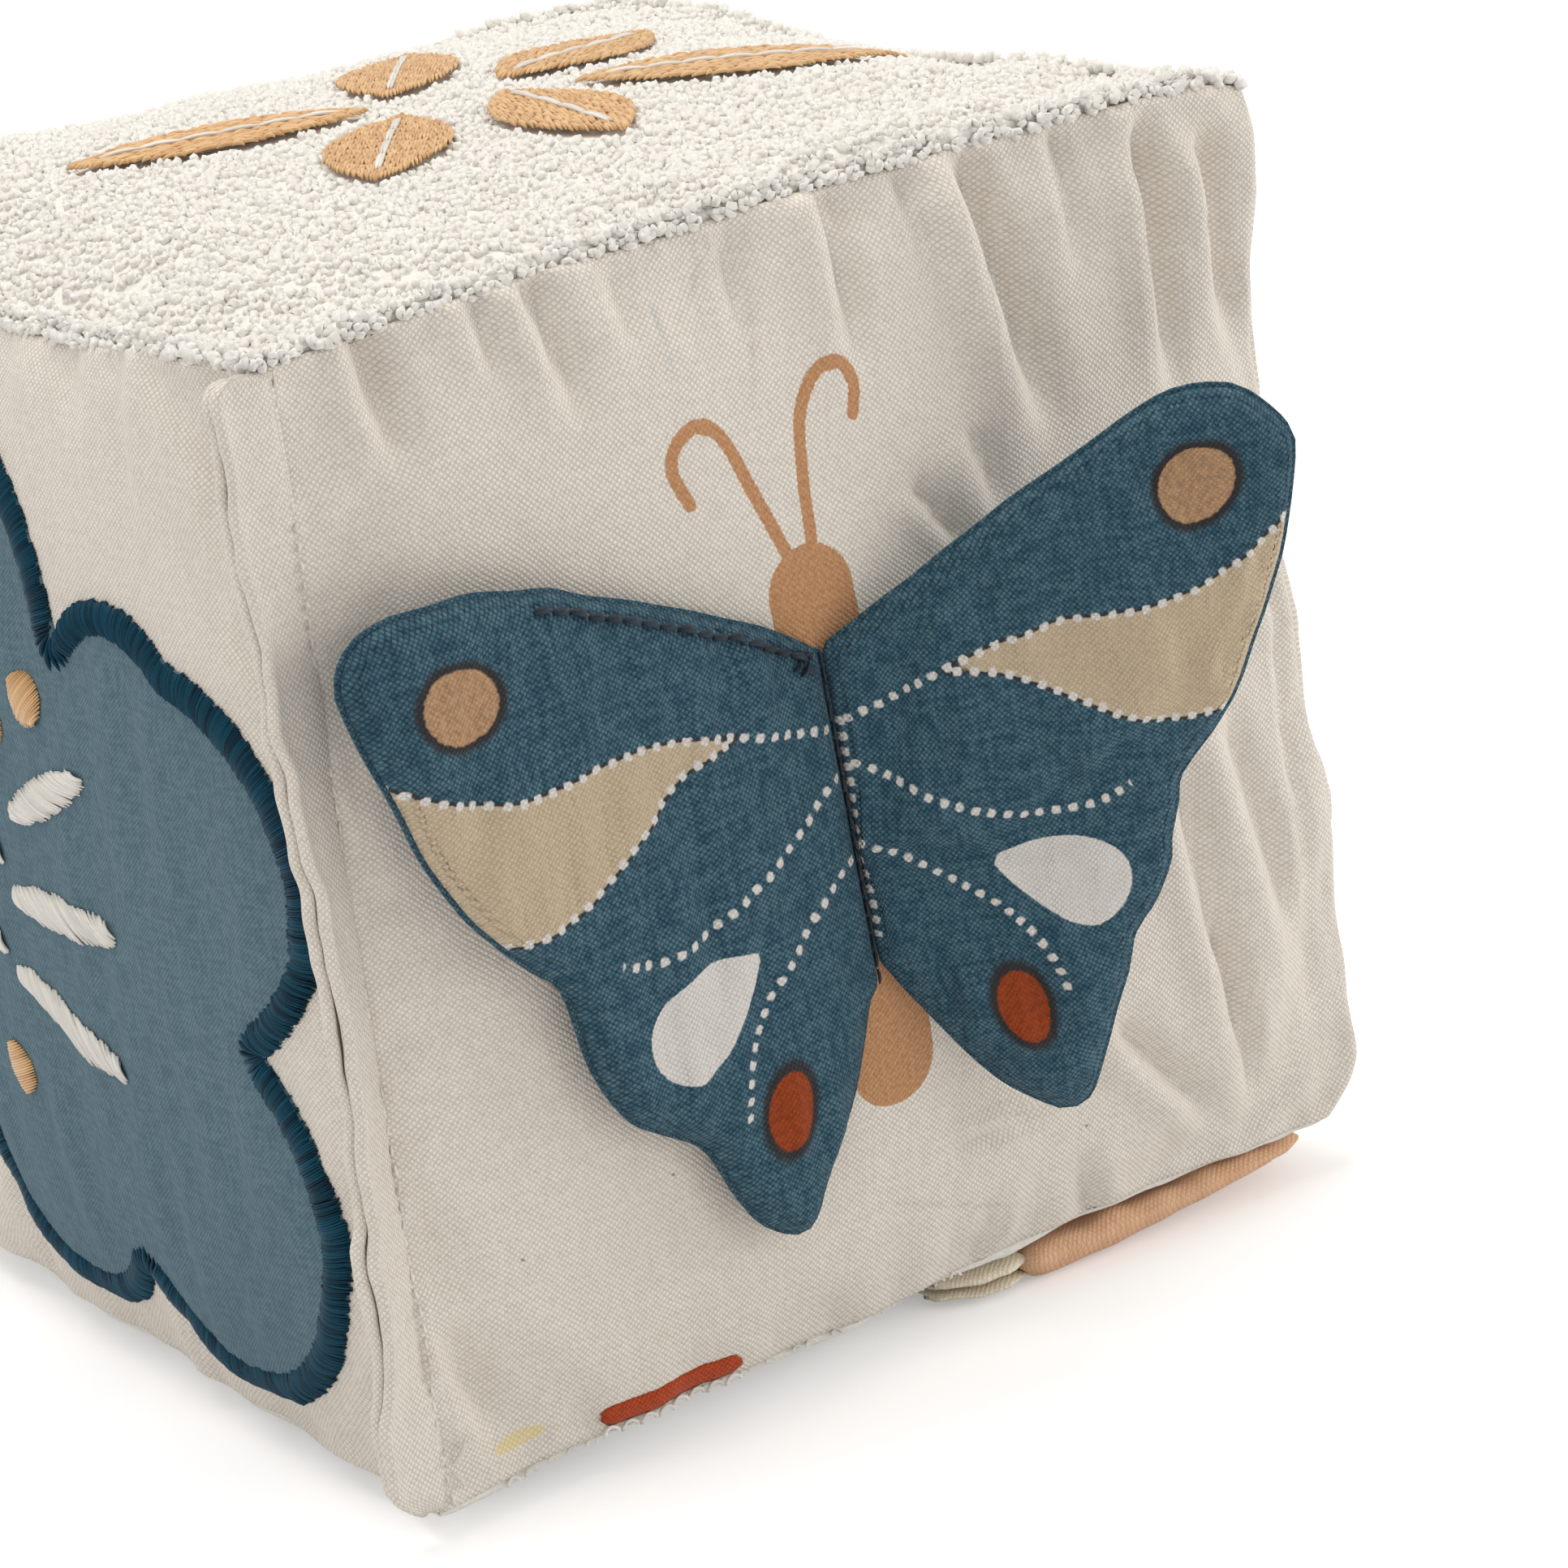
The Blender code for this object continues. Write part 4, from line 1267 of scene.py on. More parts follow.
    def blank(self) -> BMesh:
        """The cover before it is filled, with each vertex's place on the unit cube kept in a layer."""
        bm = bmesh.new()
        bmesh.ops.create_cube(bm, size=2)
        bmesh.ops.subdivide_edges(bm, edges=list(bm.edges), cuts=self.cells - 1, use_grid_fill=True)
        bm.normal_update()
        sides = list(Side)
        mark = bm.faces.layers.int.new("side")
        for face in bm.faces:
            face[mark] = sides.index(self.side_of(face.normal))
        unit = bm.verts.layers.float_vector.new("unit")
        for vert in bm.verts:
            vert[unit] = Vector([self.toward_seam(value) for value in vert.co])
            vert.co = self.point(vert[unit], share=self.start_share)
        bm.verts.index_update()
        return bm

    def fill(self, bm: BMesh) -> None:
        """Fills the cover and holds what comes of it close to its crown."""
        unit = bm.verts.layers.float_vector["unit"]
        held = [vert.index for vert in bm.verts if sum(abs(value) > 0.9999 for value in vert[unit]) > 1]
        moves = self.run.fill(bm, held)
        for vert, move in zip(bm.verts, moves):
            out = self.side_of(self.cube_direction(vert[unit])).outwards
            full = self.point(vert[unit])
            along = move - out * move.dot(out)
            depth = (vert.co + move - full).dot(out)
            limit = self.proud if depth > 0 else self.sunk
            vert.co += along * min(1.0, self.drift / max(along.length, 1e-9))
            vert.co += out * ((full - vert.co).dot(out) + limit * math.tanh(depth / limit))

    def cube_direction(self, unit: Vector) -> Vector:
        """The outward direction of the cube side that a unit point lies on."""
        axis = max((X, Y, Z), key=lambda other: abs(unit[other]))
        direction = Vector((0, 0, 0))
        direction[axis] = math.copysign(1, unit[axis])
        return direction

    def crumple(self, vert: BMVert, unit: Vector, side: Side) -> None:
        """Moves a vertex by the creases, the puckers along the seams and the cloth's own unevenness."""
        first, second = side.across
        place = (vert.co[first], vert.co[second] - (CENTRE.z if second == Z else 0))
        rise = sum(crease.height(place) for crease in self.creases.get(side, ()))
        inset = [1 - abs(unit[axis]) for axis in (first, second)]
        seam = min(inset) * HALF
        along = place[0] if inset[1] < inset[0] else place[1]
        seed = Vector((along / 0.0045, 7.3 * list(Side).index(side), 0))
        rise += 0.0010 * noise.noise(seed) * math.exp(-seam / 0.010) * ease(seam / 0.002)
        rise += 0.00045 * noise.noise(vert.co / 0.022 + Vector((3, 1, 7)))
        rise += 0.00012 * noise.noise(vert.co / 0.006)
        vert.co += side.outwards * rise * ease(seam / 0.0025)
        if side in (Side.TOP, Side.BOTTOM):
            vert.co -= side.outwards * self.pile_depth * ease(seam / 0.004)

    def part_panel(self, whole: BMesh, side: Side) -> BMesh:
        """One panel of the filled cover, drawn in along its seams.

        Args:
            whole: the filled cover.
            side: the panel's side.

        Returns:
            The panel's sheet.
        """
        bm = whole.copy()
        mark = bm.faces.layers.int["side"]
        index = list(Side).index(side)
        bmesh.ops.delete(bm, geom=[face for face in bm.faces if face[mark] != index], context="FACES")
        unit = bm.verts.layers.float_vector["unit"]
        for vert in bm.verts:
            place = vert[unit]
            self.crumple(vert, place, side)
            if vert.is_boundary:
                hemmed = place.x < -0.999 and place.y < -0.999
                inwards = (CENTRE - vert.co) * Vector([abs(value) > 0.999 for value in place])
                vert.co += inwards.normalized() * (0.0002 if hemmed else self.groove)
                vert.co -= side.outwards * 0.0001
            if side is Side.BOTTOM:
                vert.co.z = max(vert.co.z, self.floor_gap)
        bm.verts.index_update()
        return bm

    def feelers(self, bm: BMesh, lines: dict[str, Sequence[Point]]) -> None:
        """Stores where each printed line runs, for the front canvas."""
        flat = np.array([(vert.co.x, vert.co.z) for vert in bm.verts])
        for name, points in lines.items():
            write_line(bm, name, flat, points)

    def build(self) -> None:
        """Fills the cover, parts it into panels and dresses them."""
        whole = self.blank()
        self.fill(whole)
        refined = scratch_object("cover", whole)
        refine(refined)
        smooth = evaluated(refined)
        discard(refined)
        whole.free()
        finishes = {Side.FRONT: FRONT_CANVAS, Side.BACK: PLAIN_CANVAS, Side.LEFT: SIDE_CANVAS,
                    Side.RIGHT: SIDE_CANVAS, Side.TOP: TERRY_GROUND, Side.BOTTOM: TERRY_GROUND}
        materials = {finish.name: finish.material() for finish in set(finishes.values())}
        for side in Side:
            panel = self.part_panel(smooth, side)
            if side is Side.FRONT:
                self.feelers(panel, FEELERS)
            self.shapes[side] = panel.copy()
            soft = side in (Side.TOP, Side.BOTTOM)
            made = publish(f"{side.node}_cover", panel, materials[finishes[side].name],
                           "terry" if soft else "canvas", nodes=[side.node])
            thicken(made, self.terry if soft else self.canvas)
        smooth.free()


FEELERS = {
    "feeler_left": ((-0.0068, 0.1055), (-0.0107, 0.1155), (-0.0129, 0.1214), (-0.0156, 0.1243), (-0.0190, 0.1233),
                    (-0.0208, 0.1202), (-0.0192, 0.1157)),
    "feeler_right": ((-0.0036, 0.1060), (-0.0033, 0.1148), (-0.0022, 0.1222), (0.0009, 0.1266), (0.0041, 0.1271),
                     (0.0059, 0.1243), (0.0050, 0.1206))}


# --- Pile and embroidery ---


@dataclass
class Pile:
    """The terry's loops, on one side of the block."""

    side: Side
    pitch: float = 0.00142
    height: float = 0.0017
    width: float = 0.0021
    lean: float = 0.9
    sunk: float = 0.0006
    rim_rows: tuple[float, ...] = (-0.0003, 0.0008)
    rim_pitch: float = 0.0014
    margin: float = 0.0
    clear: Sequence[Sequence[Vector]] = ()
    seed: int = 11

    def places(self) -> list[tuple[float, float, bool]]:
        """Where the loops stand, as unit places, and whether each is on the rim."""
        draw = random.Random(self.seed)
        count = round(2 * HALF / self.pitch)
        rows = []
        for i in range(count):
            for j in range(count):
                first = -1 + 2 * (i + 0.5 + draw.uniform(-0.42, 0.42)) / count
                second = -1 + 2 * (j + 0.5 + draw.uniform(-0.42, 0.42)) / count
                if max(abs(first), abs(second)) < 1 - self.margin / HALF:
                    rows.append((first, second, False))
        along = round(2 * HALF / self.rim_pitch)
        for inset in self.rim_rows:
            edge = 1 - inset / HALF
            for k in range(along):
                place = -1 + 2 * (k + 0.5 + draw.uniform(-0.4, 0.4)) / along
                rows += [(place, edge, True), (place, -edge, True), (edge, place, True), (-edge, place, True)]
        return rows

    def build(self, cover: Cover) -> None:
        """Lays the loops on the cover, in four pieces."""
        surface = Surface([cover.shapes[self.side]])
        draw = random.Random(self.seed + 1)
        out = self.side.outwards
        first, second = self.side.across
        quarters: dict[tuple[bool, bool], list[Matrix]] = {}
        rows = self.places()
        flats = []
        for a, b, _ in rows:
            unit = self.side.lift(a, b, self.side.sign)
            flats.append(cover.point(unit))
        covered = np.zeros(len(rows), bool)
        spots = np.array([(point[first], point[second]) for point in flats])
        for outline in self.clear:
            covered |= outline_distance(spots, outline) > -0.0002
        for (a, b, rim), point, hidden in zip(rows, flats, covered):
            if hidden:
                continue
            place, normal = surface.seat(point + out * 0.02, -out)
            lean = any_direction(draw)
            if rim:
                edge = Vector([round(value) for value in Vector((point - CENTRE) / HALF) * 0.53])
                place = point
                normal = (edge - out * edge.dot(out) * 0.35).normalized()
            up = (normal + lean * self.lean * (0.3 if rim else 0.6)).normalized()
            if up.dot(normal) < 0.35:
                up = (up + normal).normalized()
            ahead = any_direction(draw).cross(up)
            size = draw.uniform(0.78, 1.15) * (1.10 if rim else 1.0)
            scale = Vector((self.width * size, self.width * size, self.height * size * draw.uniform(0.85, 1.1)))
            matrix = frame_matrix(place - normal * self.sunk * (1.5 if rim else 1.0), ahead, up, scale)
            quarters.setdefault((a > 0, b > 0), []).append(matrix)
        yarn = TERRY_YARN.material()
        for number, key in enumerate(sorted(quarters), 1):
            lay(f"{self.side.node}_pile_{number}", loop_template(0.30, 280, 6, 5), quarters[key], draw, yarn, "terry")


@dataclass
class Embroidery:
    """Satin stitches on one side of the block, lifted a little off the cloth as if over a low pad of their own thread.
    """

    side: Side
    thread: Material
    slot: str
    surface: Surface
    stitch_width: float = 0.00044
    pitch: float = 0.00034
    lift: float = 0.0004
    arch: float = 0.0006
    run: float = 0.0024
    seed: int = 5

    def seat(self, place: Vector) -> tuple[Vector, Vector]:
        """The point of the panel over a flat place, and the panel's direction there."""
        out = self.side.outwards
        outside = self.side.lift(place.x, place.y, self.side.sign * 0.2)
        return self.surface.seat(outside, -out)

    def stitch(self, start: Vector, end: Vector, draw: random.Random, height: float = 0.0) -> Matrix:
        """The placing of one stitch from one flat place to another.

        Args:
            start: where it comes out of the cloth.
            end: where it goes back in.
            draw: the source of small differences.
            height: how far the stitch is held up by what lies under it.

        Returns:
            The placing matrix.
        """
        a, up_a = self.seat(start)
        b, up_b = self.seat(end)
        up = (up_a + up_b).normalized()
        middle = (a + b) / 2 + up * (self.lift + height)
        size = Vector(((b - a).length, self.stitch_width * draw.uniform(0.85, 1.2), self.arch))
        return frame_matrix(middle, b - a, up, size)

    def satin_leaf(self, name: str, base: Vector, tip: Vector, width: float, node: str) -> None:
        """A slender leaf of slanted stitches that each run from one edge to the other.

        Args:
            name: the piece's name.
            base: the leaf's foot.
            tip: its point.
            width: its full width.
            node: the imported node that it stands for.
        """
        draw = random.Random(self.seed + len(name) + round(base.x * 1e5))
        span = tip - base
        side = Vector((-span.y, span.x)).normalized()
        ahead = span.normalized()
        count = max(6, round(span.length / self.pitch))
        places = []
        for index in range(count + 1):
            t = 0.03 + 0.94 * index / count
            half = width / 2 * math.sqrt(1 - (2 * t - 1) ** 2)
            middle = base + span * t
            reach = [half * 0.90 + draw.uniform(-0.0002, 0.0005) for _ in range(2)]
            slant = min(half * 1.3, span.length * min(t, 1 - t) + 0.0003)
            places.append(self.stitch(middle - side * reach[0] - ahead * slant,
                                      middle + side * reach[1] + ahead * slant, draw))
        lay(name, stitch_template(arch=0.9), places, draw, self.thread, self.slot, nodes=[node])

    def filled_leaf(self, name: str, base: Vector, tip: Vector, width: float, node: str,
                    vein: Material) -> None:
        """A broad leaf filled with rows of short stitches, with a line of long ones for its midrib.

        Args:
            name: the piece's name.
            base: the leaf's foot.
            tip: its point.
            width: its full width.
            node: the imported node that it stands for.
            vein: the midrib's thread.
        """
        draw = random.Random(self.seed + len(name) + round(base.x * 1e5))
        span = tip - base
        side = Vector((-span.y, span.x)).normalized()
        ahead = span.normalized()
        rows = round(width / self.pitch)
        places = []
        for row in range(rows):
            across = width / 2 * (-1 + 2 * (row + 0.5) / rows)
            inner = math.sqrt(max(0.0, 1 - abs(across) / (width / 2)))
            start, end = span.length * (1 - inner) / 2, span.length * (1 + inner) / 2
            walked = start - draw.uniform(0, self.run)
            while walked < end:
                step = self.run * draw.uniform(0.75, 1.2)
                low, high = max(walked, start), min(walked + step, end)
                walked += step
                if high - low > 0.0004:
                    drift = side * draw.uniform(-0.0002, 0.0002)
                    places.append(self.stitch(base + ahead * low + side * across + drift,
                                              base + ahead * (high + 0.0003) + side * across - drift, draw,
                                              draw.uniform(-0.00008, 0.00012)))
        lay(name, stitch_template(steps=4), places, draw, self.thread, self.slot, nodes=[node])
        points = resample([base + span * 0.10, base + span * 0.88], 0.0045)
        lines = [self.stitch(a + side * offset, b + ahead * 0.0004 + side * offset, draw, 0.0004)
                 for a, b in zip(points, points[1:]) for offset in (-0.0002, 0.0002)]
        lay(f"{name}_vein", stitch_template(arch=0.35), lines, draw, vein, "white_satin")

    def bud(self, name: str, centre: Vector, radius: float, node: str) -> None:
        """A round dot of parallel stitches.

        Args:
            name: the piece's name.
            centre: its middle.
            radius: its radius.
            node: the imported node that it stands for.
        """
        draw = random.Random(self.seed + len(name) + round(centre.x * 1e5))
        turn = draw.uniform(0, math.pi)
        along = Vector((math.cos(turn), math.sin(turn)))
        side = Vector((-along.y, along.x))
        count = max(4, round(2 * radius / self.pitch))
        places = []
        for index in range(count):
            offset = radius * (-1 + 2 * (index + 0.5) / count)
            half = math.sqrt(max(radius ** 2 - offset ** 2, 0)) + draw.uniform(-0.0001, 0.0002)
            middle = centre + side * offset
            places.append(self.stitch(middle - along * half, middle + along * half, draw))
        lay(name, stitch_template(arch=0.9), places, draw, self.thread, self.slot, nodes=[node])


@dataclass
class TopSpray:
    """The spray of tan leaves on the terry, each with a white midrib."""

    width: float = 0.0160
    leaves: tuple[tuple[Point, Point], ...] = (
        ((-0.11, 0.11), (-0.60, 0.37)), ((-0.03, 0.18), (0.26, 0.60)), ((-0.11, 0.00), (-0.38, -0.36)),
        ((0.08, -0.03), (0.06, -0.47)), ((0.16, 0.10), (0.62, 0.30)), ((0.22, -0.06), (0.80, -0.28)))

    def ends(self) -> list[tuple[Vector, Vector]]:
        """Each leaf's foot and point."""
        return [(Vector(base) * HALF, Vector(tip) * HALF) for base, tip in self.leaves]

    def outlines(self) -> list[list[Vector]]:
        """Each leaf's outline, which the pile keeps clear of."""
        outlines = []
        for base, tip in self.ends():
            bulge = self.width / 2 / (tip - base).length
            outlines.append(arc(base, tip, bulge, 10) + arc(tip, base, bulge, 10))
        return outlines

    def build(self, cover: Cover) -> None:
        """Stitches the leaves on the terry."""
        work = Embroidery(Side.TOP, TAN_THREAD.material(), "tan_satin", Surface([cover.shapes[Side.TOP]]),
                          lift=0.0011, arch=0.0006, stitch_width=0.00056, pitch=0.00042)
        white = WHITE_THREAD.material()
        for number, (base, tip) in enumerate(self.ends(), 1):
            work.filled_leaf(f"top_leaf_stitches_{number}", base, tip, self.width, f"top_leaf_{number}", white)


@dataclass
class CloudPatch:
    """The lobed slate patch on the left panel, its satin border and the sprig stitched on it."""

    half: float = 0.0610
    border_width: float = 0.0045
    lift: float = 0.0007
    cell: float = 0.0020
    leaf_width: float = 0.0052
    bud_radius: float = 0.0035
    notches: tuple[Point, ...] = ((-0.287, 0.493), (-0.711, 0.516), (-0.843, -0.258), (-0.161, -0.918),
                                  (0.505, -0.689), (0.780, -0.023), (0.574, 0.574))
    bulges: tuple[float, ...] = (0.23, 0.37, 0.53, 0.36, 0.34, 0.36, 0.45)
    leaves: tuple[tuple[Point, Point], ...] = (
        ((-0.023, 0.069), (-0.344, 0.230)), ((0.034, -0.115), (-0.390, -0.092)),
        ((0.092, -0.298), (-0.321, -0.413)), ((0.046, -0.023), (0.344, 0.184)),
        ((0.115, -0.230), (0.459, -0.138)))
    buds: tuple[Point, ...] = ((0.023, 0.275), (-0.160, 0.350), (0.230, 0.367), (0.184, -0.528))

    def spot(self, share: Point) -> Vector:
        """A flat place from a share of the patch's half width."""
        return Vector((share[0] * self.half, CENTRE.z + share[1] * self.half))

    def outline(self) -> list[Vector]:
        """The lobed outline."""
        points = [self.spot(share) for share in self.notches]
        outline = []
        for start, end, bulge in zip(points, points[1:] + points[:1], self.bulges):
            outline += arc(start, end, bulge, 16)
        return outline

    def patch(self, work: Embroidery) -> Surface:
        """Makes the slate cloth, with soft upright creases, and returns its outside."""
        bm = cut_sheet(self.outline(), self.cell)
        flats = {vert: vert.co.xy.copy() for vert in bm.verts}
        depth = outline_distance(np.array([flats[vert][:] for vert in bm.verts]), self.outline())
        for vert, inset in zip(list(bm.verts), depth):
            flat = flats[vert]
            place, normal = work.seat(flat)
            fold = rough(flat.x / 0.0052, flat.y / 0.030, 4.0)
            rise = self.lift + ease((inset - 0.0035) / 0.006) * (0.0005 + 0.0012 * fold)
            if inset < 0.0005:
                rise -= 0.0004
            vert.co = place + Side.LEFT.outwards * rise
        write_flat(bm, lambda vert: (flats[vert].x, flats[vert].y))
        bmesh.ops.recalc_face_normals(bm, faces=list(bm.faces))
        face_towards(bm, Side.LEFT.outwards)
        top = Surface([bm])
        made = publish("cloud_patch_cloth", bm, SLATE.material(), "slate", nodes=["cloud_patch"])
        refine(made)
        thicken(made, 0.0006)
        size, area = flat_size(self.outline())
        return top

    def border(self, work: Embroidery) -> None:
        """The raised satin border: one thread after another, across its width."""
        draw = random.Random(3)
        line = resample([point.to_3d() for point in self.outline()], work.pitch, closed=True)
        places = []
        turned = flat_size(line)[1] > 0
        for index, point in enumerate(line):
            ahead = turning(line, index, 4, True).xy
            inwards = Vector((-ahead.y, ahead.x)) * (1 if turned else -1)
            outer = point.xy - inwards * draw.uniform(-0.0002, 0.00040) - ahead * 0.0005
            inner = point.xy + inwards * (self.border_width + draw.uniform(-0.0003, 0.0003)) + ahead * 0.0005
            places.append(work.stitch(outer, inner, draw))
        lay("cloud_border_stitches", stitch_template(steps=6, arch=0.9), places, draw, work.thread, "teal_satin",
            nodes=["cloud_border"])

    def build(self, cover: Cover) -> None:
        """Makes the patch and everything on it."""
        ground = Surface([cover.shapes[Side.LEFT]])
        work = Embroidery(Side.LEFT, TEAL_THREAD.material(), "teal_satin", ground, lift=0.0006, arch=0.0009,
                          stitch_width=0.00050, pitch=0.00032)
        top = self.patch(work)
        self.border(work)
        white = Embroidery(Side.LEFT, WHITE_THREAD.material(), "white_satin", top, arch=0.00045,
                           stitch_width=0.00038, pitch=0.00026)
        for number, (base, tip) in enumerate(self.leaves, 1):
            white.satin_leaf(f"patch_leaf_stitches_{number}", self.spot(base), self.spot(tip), self.leaf_width,
                             f"patch_leaf_{number}")
        tan = Embroidery(Side.LEFT, TAN_THREAD.material(), "tan_satin", top)
        for number, centre in enumerate(self.buds, 1):
            tan.bud(f"patch_bud_stitches_{number}", self.spot(centre), self.bud_radius, f"patch_bud_{number}")


# --- The closing seam ---


@dataclass
class ClosingSeam:
    """Two folded hems that stand out along the front left edge, and the stitches that close them."""

    cover: Cover
    width: float = 0.0070
    cloth: float = 0.0004
    fold_radius: float = 0.00055
    splay: float = 0.0004
    end_inset: float = 0.0009
    foot_inset: float = 0.0006
    full_lean: float = 90.0
    steps: int = 12
    stitch_pitch: float = 0.0024
    stations: tuple[Point, ...] = ((-1.00, 0.02), (-0.86, 0.08), (-0.68, 0.20), (-0.45, 0.32), (-0.20, 0.34),
                                   (0.05, 0.30), (0.30, 0.18), (0.55, 0.06), (0.80, -0.03), (1.00, -0.05))

    def section(self, root: float, side: int) -> list[Vector]:
        """The fold across the hem's length: out along one layer, round, and back along the other."""
        radius, bulb = side * self.fold_radius, self.fold_radius * 1.75
        outward = [(root, 0, -1), (self.width * 0.25, 0, -0.9), (self.width * 0.5, 0.4, -0.7),
                   (self.width * 0.75, 0.8, -0.7)]
        homeward = [(self.width * 0.75, 0.8, 0.7), (self.width * 0.5, 0.4, 0.6), (self.width * 0.25, 0, 0.7),
                    (root * 0.4, 0, 0.3), (root, 0, -1.1)]
        out, home = ([Vector((x, radius + side * self.splay * lean + radius * apart, 0)) for x, lean, apart in rows]
                     for rows in (outward, homeward))
        turns = [math.pi * step / 6 for step in range(7)]
        tip = [Vector((self.width - bulb + math.sin(turn) * bulb,
                       radius + side * (self.splay - math.cos(turn) * bulb), 0)) for turn in turns]
        return out + tip + home

    def station(self, height: float, lean: float) -> tuple[Vector, Matrix]:
        """The seam's point and the hem's turn at a height."""
        corner = self.cover.point(Vector((-1, -1, height)))
        corner.z = max(min(corner.z, CENTRE.z + HALF - self.end_inset), CENTRE.z - HALF + self.foot_inset)
        sway = 5 * rough(height * 6.0, 0, 0)
        return corner, Matrix.Rotation(math.pi + math.radians(lean * self.full_lean + sway), 3, "Z")

    def rounded(self, share: float, least: float) -> float:
        """How much of its size an end of the hem has: a quarter circle that starts at the least size."""
        share = min(1.0, max(0.0, share))
        return least + (1 - least) * math.sqrt(1 - (1 - share) ** 2)

    def hem(self, name: str, node: str, root: float, side: int) -> None:
        """One folded hem.

        Args:
            name: the piece's name.
            node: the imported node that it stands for.
            root: how far out from the seam its cloth starts.
            side: the side of the seam that it lies on.
        """
        bm = bmesh.new()
        rings = []
        line = smooth_line(self.stations, self.steps)
        for height, lean in line:
            corner, turn = self.station(height, lean)
            wave = 0.92 + 0.12 * rough(height * 8, side * 0.5, 1.0)
            wave += 0.06 * rough(height * 24, side * 0.9, 5.0)
            sway = 0.0018 * rough(height * 6.5, 0, 2.0)
            sway += 0.0006 * rough(height * 19, 0, 6.0)
            ends = self.rounded((1 - height) / 0.07, 0.35) if height > 0 else ease((1.01 + height) / 0.09) * 0.8 + 0.2
            closed = self.rounded((1 - abs(height)) / 0.03, 0.12)
            ring = []
            for point in self.section(root, side):
                share = max(0.0, point.x / self.width)
                reach = Vector((point.x * (wave * ends if point.x > 0 else 1),
                                point.y * closed + sway * share ** 1.5, 0))
                ring.append(bm.verts.new(corner + turn @ reach))
            rings.append(ring)
        edges = [[bm.edges.new(pair) for pair in zip(ring, ring[1:])] for ring in rings]
        flats = {}
        section = self.section(root, side)
        across = np.cumsum([0.0] + [(b - a).length for a, b in zip(section, section[1:])])
        for ring, (height, _) in zip(rings, line):
            for vert, place in zip(ring, across):
                flats[vert] = (place, height * HALF)
        for lower, upper in zip(edges, edges[1:]):
            bmesh.ops.bridge_loops(bm, edges=lower + upper)
        write_flat(bm, lambda vert: flats[vert])
        bmesh.ops.recalc_face_normals(bm, faces=list(bm.faces))
        outer = max(bm.faces, key=lambda face: -face.calc_center_median().x - face.calc_center_median().y)
        if outer.normal.dot(Vector((-1, -1, 0))) < 0:
            bmesh.ops.reverse_faces(bm, faces=list(bm.faces))
        made = publish(name, bm, self.material, "canvas", nodes=[node])
        thicken(made, self.cloth)
        refine(made)

    def stitches(self) -> None:
        """The row of small pricks beside the hems, and two loose thread ends at its foot."""
        draw = random.Random(8)
        line = resample([Vector((height, lean, 0)) for height, lean in smooth_line(self.stations, 4)],
                        self.stitch_pitch / HALF)
        places = []
        surface = Surface([self.cover.shapes[Side.FRONT]])
        for point in line[1:-1]:
            height = self.cover.point(Vector((-1, -1, point.x))).z
            place, normal = surface.seat_front(-HALF + 0.0021, height)
            ahead = Vector((draw.uniform(-0.25, 0.25), 0, 1))
            size = Vector((0.0013 * draw.uniform(0.8, 1.2), 0.0004, 0.0004))
            places.append(frame_matrix(place + normal * 0.0001, ahead, normal, size))
        for foot, tip in (((-0.0670, 0.0098), (-0.0652, 0.0122)), ((-0.0674, 0.0086), (-0.0662, 0.0064))):
            a, up = surface.seat_front(*foot)
            b, _ = surface.seat_front(*tip)
            size = Vector(((b - a).length, 0.0005, 0.0008))
            places.append(frame_matrix((a + b) / 2 + up * 0.0009, b - a, up, size))
        lay("closing_stitches", stitch_template(arch=0.7), places, draw, WHITE_THREAD.material(), "white_satin")

    def build(self) -> None:
        """Makes the hems and their stitches."""
        self.material = HEM_CANVAS.material()
        self.hem("closing_hem_front_fold", "closing_hem_front", -0.0022, 1)
        self.hem("closing_hem_side_fold", "closing_hem_side", -0.0010, -1)
        self.stitches()


# --- The wings ---


LEFT_PATTERN = (
    (5.1, -3.2), (11.4, -7.1), (18.8, -11.1), (26.1, -14.8), (30.6, -16.9), (35.1, -19.3), (38.5, -20.2), (44.8, -22.0),
    (51.3, -22.6), (56.5, -22.9), (61.0, -21.6), (63.3, -18.4), (63.3, -14.8), (60.8, -6.1), (57.5, 5.1), (55.0, 11.0),
    (52.3, 16.1), (47.4, 22.0), (44.2, 25.2), (42.9, 27.8), (42.1, 34.1), (41.0, 39.3), (39.0, 43.6), (36.4, 47.2),
    (29.8, 51.9), (27.4, 55.6), (25.5, 60.8), (23.2, 65.4), (20.3, 67.9), (17.4, 69.0), (15.3, 67.9), (13.4, 64.9),
    (8.0, 57.4), (4.7, 51.1), (2.3, 45.7))
RIGHT_PATTERN = (
    (4.4, -1.7), (9.7, -4.3), (15.1, -7.2), (20.4, -10.1), (25.8, -12.8), (31.0, -15.4), (36.3, -17.8), (41.5, -20.2),
    (45.6, -21.8), (49.5, -21.7), (53.3, -20.7), (55.9, -18.6), (58.6, -14.9), (58.8, -11.4), (56.4, -1.8), (54.1, 3.9),
    (51.3, 9.5), (47.8, 16.0), (44.8, 20.0), (41.9, 22.5), (39.5, 25.1), (38.9, 28.2), (37.4, 32.6), (36.9, 35.7),
    (34.2, 40.4), (31.1, 44.0), (29.3, 49.0), (27.0, 53.9), (24.6, 59.9), (22.4, 63.8), (19.8, 64.5), (17.4, 63.2),
    (13.9, 60.2), (9.6, 55.3), (6.4, 50.2), (3.7, 45.8))


